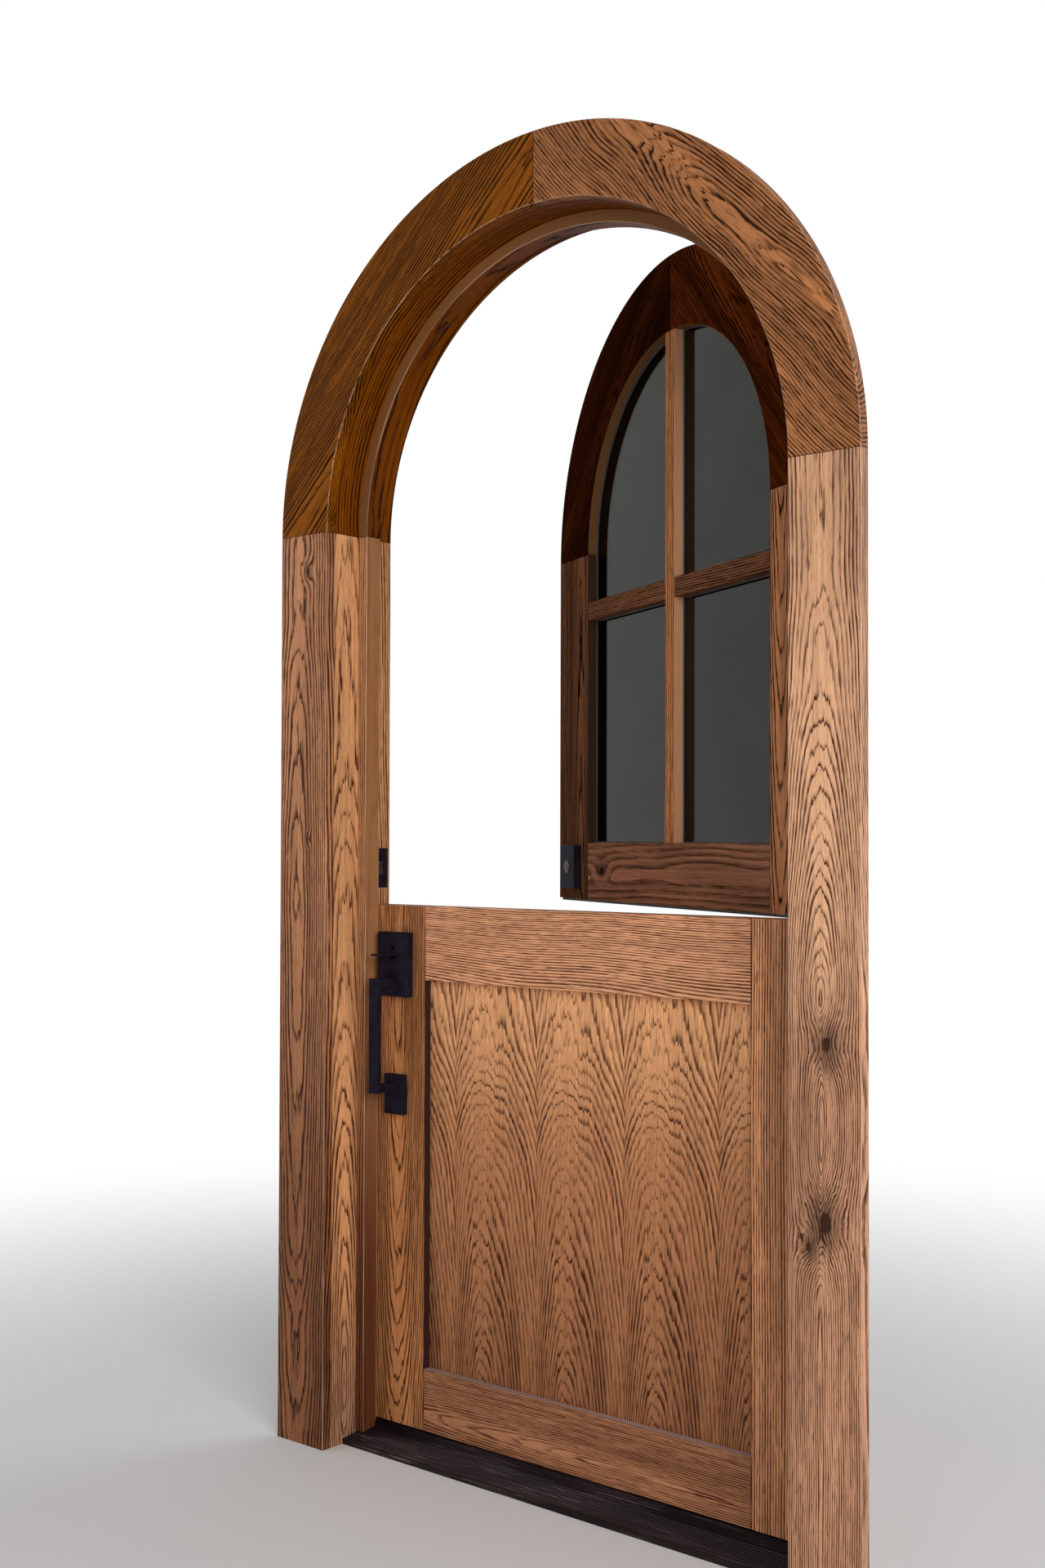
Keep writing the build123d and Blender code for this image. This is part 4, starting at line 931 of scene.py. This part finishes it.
def placedScrew(grid, head, along, roll):
    # Turned so that its depth runs along the given direction from the head's place
    turned = Matrix.Rotation(roll, 3, "Z")
    swungTo = Vector(along).to_track_quat("Z", "Y").to_matrix() @ turned
    return grid @ np.array(swungTo).T + np.array(head)


def makeScrews(name, node, bodyName, jobs, opened):
    parts = []
    for index, (head, along, length) in enumerate(jobs):
        settings = trimScrew if along[1] else screwSettings
        grid = placedScrew(screwGrid(settings, length), head, along, settings["rollStep"] * index)
        parts.append(closedGrid(swing(grid) if opened else grid))
    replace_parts(meshPiece(name, parts, metals["blackIron"], bodyName), node)


hardware = {
    "hinges": {"lower": (0.185, 0.776), "upper": (1.075, 1.49)},
    "hingeScrewStep": 0.034, "hingeScrewShift": 0.005, "hingeScrewY": 0.05225,
    "locks": {"lower": middleOf("latch_strike")[2], "upper": middleOf("deadbolt_strike")[2]},
    "lockScrewRise": 0.02178, "lockScrewY": 0.046,
    "deadboltStrikeRise": 0.0266, "deadboltStrikeY": (0.0462, 0.0542),
    # the long trim screws: middle and front end for each leaf
    "roses": {"lower": (-0.393, 0.01575), "upper": (-0.3905, 0.01625)},
    "roseRise": 0.021, "roseBack": 0.07625,
}


def hingeScrews(heights, x, along, length):
    # Three to a hinge half, the middle one set further from the pin
    jobs = []
    for height in heights:
        for step in (-1, 0, 1):
            shift = hardware["hingeScrewShift"] * (1 if step == 0 else -1)
            z = height + step * hardware["hingeScrewStep"]
            jobs.append(((x, hardware["hingeScrewY"] + shift, z), along, length))
    return jobs


def strikeScrews(x, along, length):
    # Four in the deadbolt's strike and two in the latch's
    jobs = []
    for side in (-1, 1):
        z = hardware["locks"]["upper"] + side * hardware["deadboltStrikeRise"]
        jobs += [((x, y, z), along, length) for y in hardware["deadboltStrikeY"]]
        z = hardware["locks"]["lower"] + side * hardware["lockScrewRise"]
        jobs.append(((x, hardware["lockScrewY"], z), along, length))
    return jobs


def leafScrews(leaf):
    height = hardware["locks"][leaf]
    half, length = doorway["halfLeaf"], screwSettings["stileLength"]
    jobs = hingeScrews(hardware["hinges"][leaf], half, (-1, 0, 0), length)
    for side in (-1, 1):
        z = height + side * hardware["lockScrewRise"]
        jobs.append(((-half, hardware["lockScrewY"], z), (1, 0, 0), length))
    return jobs


def trimScrews(leaf):
    # The two long screws that draw the inner and outer trim together
    x, front = hardware["roses"][leaf]
    height, back = hardware["locks"][leaf], hardware["roseBack"]
    return [((x, back, height + side * hardware["roseRise"]), (0, -1, 0), back - front) for side in (-1, 1)]


allHinges = hardware["hinges"]["lower"] + hardware["hinges"]["upper"]
frameJobs = hingeScrews(allHinges, doorway["opening"], (1, 0, 0), screwSettings["jambLength"])
frameJobs += strikeScrews(-doorway["opening"], (-1, 0, 0), screwSettings["jambLength"])
makeScrews("frameCrossScrews", "frame_screws", "frame", frameJobs, False)
for leaf in ("lower", "upper"):
    jobs = leafScrews(leaf) + trimScrews(leaf)
    makeScrews(leaf + "LeafCrossScrews", leaf + "_leaf_screws", leaf + "_leaf", jobs, leaf == "upper")


# Steel boxes in the jamb that the two bolts run into, each just behind its strike
boxSettings = {
    "half": (0.0073, 0.0108), "wall": 0.0008, "gap": 0.00005, "corner": 0.12,
    "depths": {"deadbolt_strike": 0.02125, "latch_strike": 0.00875},
}


def strikeBoxGrid(settings, strike):
    # Section: a superellipse, so a rectangle with small round corners. The rows run from the closed
    # end to the mouth outside, and back to the closed end inside
    angle = np.linspace(0, 2 * pi, 49)[:-1]
    shape = np.stack((np.cos(angle), np.sin(angle)), -1)
    shape = np.sign(shape) * np.abs(shape) ** settings["corner"]
    half, wall = np.array(settings["half"]), settings["wall"]
    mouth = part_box(strike)[0].x - settings["gap"]
    end = mouth - settings["depths"][strike]
    sizes = np.array((half, half, half - wall, half - wall))
    places = np.array((end, mouth, mouth, end + wall))
    flat = shape[None, :, :] * sizes[:, None, :]
    x = np.broadcast_to(places[:, None], flat.shape[:2])
    return np.stack((x, hardware["lockScrewY"] + flat[..., 0], middleOf(strike)[2] + flat[..., 1]), -1)


boxParts = [closedGrid(strikeBoxGrid(boxSettings, strike)) for strike in boxSettings["depths"]]
meshPiece("strikeBoxes", boxParts, metals["boltSteel"], "frame")
print("stage 5: screws and strike boxes")


# Sealant round each pane: a hollow fillet carried along the pane's outline
paneSettings = {
    "bottom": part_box("upper_bottom_rail")[1].z,
    "glassFront": doorway["leafFront"] + 0.019, "glassThick": 0.006,
    "bead": 0.0024, "offGlass": 0.00003, "arcSteps": 40,
    # the bead's section: shares of its size inward and off the glass
    "profile": ((0, 0), (0, 1), (0.2, 0.55), (0.5, 0.24), (1, 0)),
}


def paneOutlines(settings):
    # Corner points of the four panes, with the arcs of the upper two in small steps
    sight, post = doorway["stileEdge"], doorway["postHalf"]
    bottom, barLow, barHigh = settings["bottom"], doorway["barLow"], doorway["barHigh"]
    turn = np.linspace(0, np.arccos(post / sight), settings["arcSteps"])
    arc = np.stack((sight * np.cos(turn), doorway["springHeight"] + sight * np.sin(turn)), -1)
    low = np.array(((post, bottom), (sight, bottom), (sight, barLow), (post, barLow)))
    high = np.concatenate((((post, barHigh), (sight, barHigh)), arc))
    outlines = []
    for outline in (low, high):
        outlines += [outline, (outline * (-1, 1))[::-1]]
    return outlines


def inwardFrom(starts, ends):
    # Square to each edge, towards the pane's middle
    along = (ends - starts) / np.linalg.norm(ends - starts, axis=1)[:, None]
    return np.stack((-along[:, 1], along[:, 0]), -1)


def filletRound(outline, face, outward, settings):
    # Each point of the outline gets the profile's points: so far inward along the mitre of
    # its two edges, and so far off the glass
    before = inwardFrom(np.roll(outline, 1, 0), outline)
    behind = inwardFrom(outline, np.roll(outline, -1, 0))
    mitre = (before + behind) / (1 + (before * behind).sum(1))[:, None]
    profile = np.array(settings["profile"]) * settings["bead"]
    flat = outline[:, None, :] + mitre[:, None, :] * profile[None, :, :1]
    y = np.broadcast_to(face + outward * (profile[:, 1] + settings["offGlass"]), flat.shape[:2])
    points = np.stack((flat[..., 0], y, flat[..., 1]), -1)
    return points if outward < 0 else points[:, ::-1]


def ringGrid(grid):
    # Closed both ways, like a ring
    rows, columns = grid.shape[:2]
    row, column = np.meshgrid(np.arange(rows), np.arange(columns), indexing="ij")
    nextRow, nextColumn = (row + 1) % rows, (column + 1) % columns
    corners = ((row, column), (nextRow, column), (nextRow, nextColumn), (row, nextColumn))
    cells = np.stack([down * columns + over for down, over in corners], -1)
    return grid.reshape(-1, 3), (cells.reshape(-1, 4),)


def makeSealant(settings):
    front = settings["glassFront"]
    back = front + settings["glassThick"]
    parts = []
    for outline in paneOutlines(settings):
        for face, outward in ((front, -1), (back, 1)):
            parts.append(ringGrid(swing(filletRound(outline, face, outward, settings))))
    meshPiece("paneSealant", parts, sealRubber, "upper_leaf")


makeSealant(paneSettings)
print("stage 6: sealant round the panes")


# Metal trim with its edges eased, so that they catch the light
easedTrim = {
    "width": 0.0006, "segments": 2,
    "pieces": {
        "lower_leaf": ("handle_plate", "foot_plate", "handle_grip", "inner_rose"),
        "upper_leaf": ("deadbolt_plate", "deadbolt_rose"),
        "thumbturn": ("thumbturn",),
        "inner_lever": ("inner_lever",),
    },
}


def easedCopy(node, bodyName, settings):
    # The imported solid's own faces, merged and with a small bevel
    work = bmesh.new()
    work.from_mesh(nodes[node].data)
    bmesh.ops.remove_doubles(work, verts=work.verts, dist=1e-6)
    bmesh.ops.dissolve_limit(work, angle_limit=radians(0.5), verts=work.verts, edges=work.edges)
    name = "eased" + camelWords(node)
    mesh = bpy.data.meshes.new(name)
    work.to_mesh(mesh)
    work.free()
    piece = placePiece(name, mesh, metals["blackIron"], bodyName)
    edge = piece.modifiers.new("easedEdge", "BEVEL")
    edge.width = settings["width"]
    edge.segments = settings["segments"]
    edge.limit_method = "ANGLE"
    edge.angle_limit = sharpAngle
    edge.harden_normals = True
    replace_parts(piece, node)


for bodyName, trimNodes in easedTrim["pieces"].items():
    for node in trimNodes:
        easedCopy(node, bodyName, easedTrim)
print("stage 7: eased metal trim")


# Pale floor, lamps and sky
studio = {
    "floorReach": 14.0,
    "floorTone": 0.78,
    "fade": (0.8, 3.2),  # the floor turns to plain white between these distances
    "skyLight": 0.38,
    "lamps": (
        # place, aim, width, power
        ((3.9, -2.5, 1.9), (0.0, 0.0, 0.95), 2.4, 150.0),
        ((-2.6, -3.2, 2.0), (0.0, 0.0, 0.9), 2.4, 26.0),
        ((1.2, 3.4, 2.6), (0.0, 0.0, 1.2), 2.6, 45.0),
    ),
}


def backgroundRays(tree):
    # The camera, glossy surfaces and glass see plain white there, and it gives no light
    seen = addNode(tree, "ShaderNodeLightPath").outputs
    kinds = ("Is Camera Ray", "Is Glossy Ray", "Is Transmission Ray")
    return folded(tree, "MAXIMUM", [seen[kind] for kind in kinds])


def makeFloor(settings):
    # A disc of rings that get wider outwards: a closed grid without its far end
    ring = np.linspace(0, 1, 13)[1:] ** 2 * settings["floorReach"]
    radius, angle = np.meshgrid(ring, np.linspace(2 * pi, 0, 73)[1:], indexing="ij")
    points, groups = closedGrid(roundPoints(radius, angle, np.zeros_like(radius)))
    mesh = bpy.data.meshes.new("studioFloor")
    mesh.from_pydata(points[:-1].tolist(), [], groups[0].tolist() + groups[1].tolist())
    floor = newObject("studioFloor", mesh)
    material, tree, surface = newMaterial("floorPaint")
    away = calcVector(tree, "LENGTH", objectPlace(tree))
    tone = settings["floorTone"]
    feedAll(tree, surface, {"Base Color": (tone, tone, tone, 1), "Roughness": 0.9, "Specular IOR Level": 0.1})
    plain = addNode(tree, "ShaderNodeEmission")
    feedAll(tree, plain, {"Color": (1, 1, 1, 1)})
    blend = addNode(tree, "ShaderNodeMixShader")
    faded = between(tree, away, *settings["fade"])
    feedAll(tree, blend, (times(tree, backgroundRays(tree), faded), surface.outputs[0], plain.outputs[0]))
    feed(tree, tree.nodes["Material Output"].inputs["Surface"], blend.outputs[0])
    mesh.materials.append(material)


def makeSky(settings):
    world = bpy.data.worlds.new("studioSky")
    bpy.context.scene.world = world
    world.use_nodes = True
    tree = world.node_tree
    sky = tree.nodes["Background"]
    light = settings["skyLight"]
    strength = calc(tree, "MULTIPLY_ADD", backgroundRays(tree), 1 - light, light)
    feedAll(tree, sky, {"Color": (1, 1, 1, 1), "Strength": strength})


def makeLamps(settings):
    for index, (place, aim, width, power) in enumerate(settings["lamps"]):
        data = bpy.data.lights.new(f"softLamp{index}", "AREA")
        data.size = width
        data.energy = power
        lamp = newObject(f"softLamp{index}", data)
        lamp.location = place
        lamp.rotation_euler = (Vector(aim) - Vector(place)).to_track_quat("-Z", "Y").to_euler()


makeFloor(studio)
makeSky(studio)
makeLamps(studio)
bpy.context.scene.view_settings.view_transform = "Standard"
print("stage 8: floor, sky and lamps")
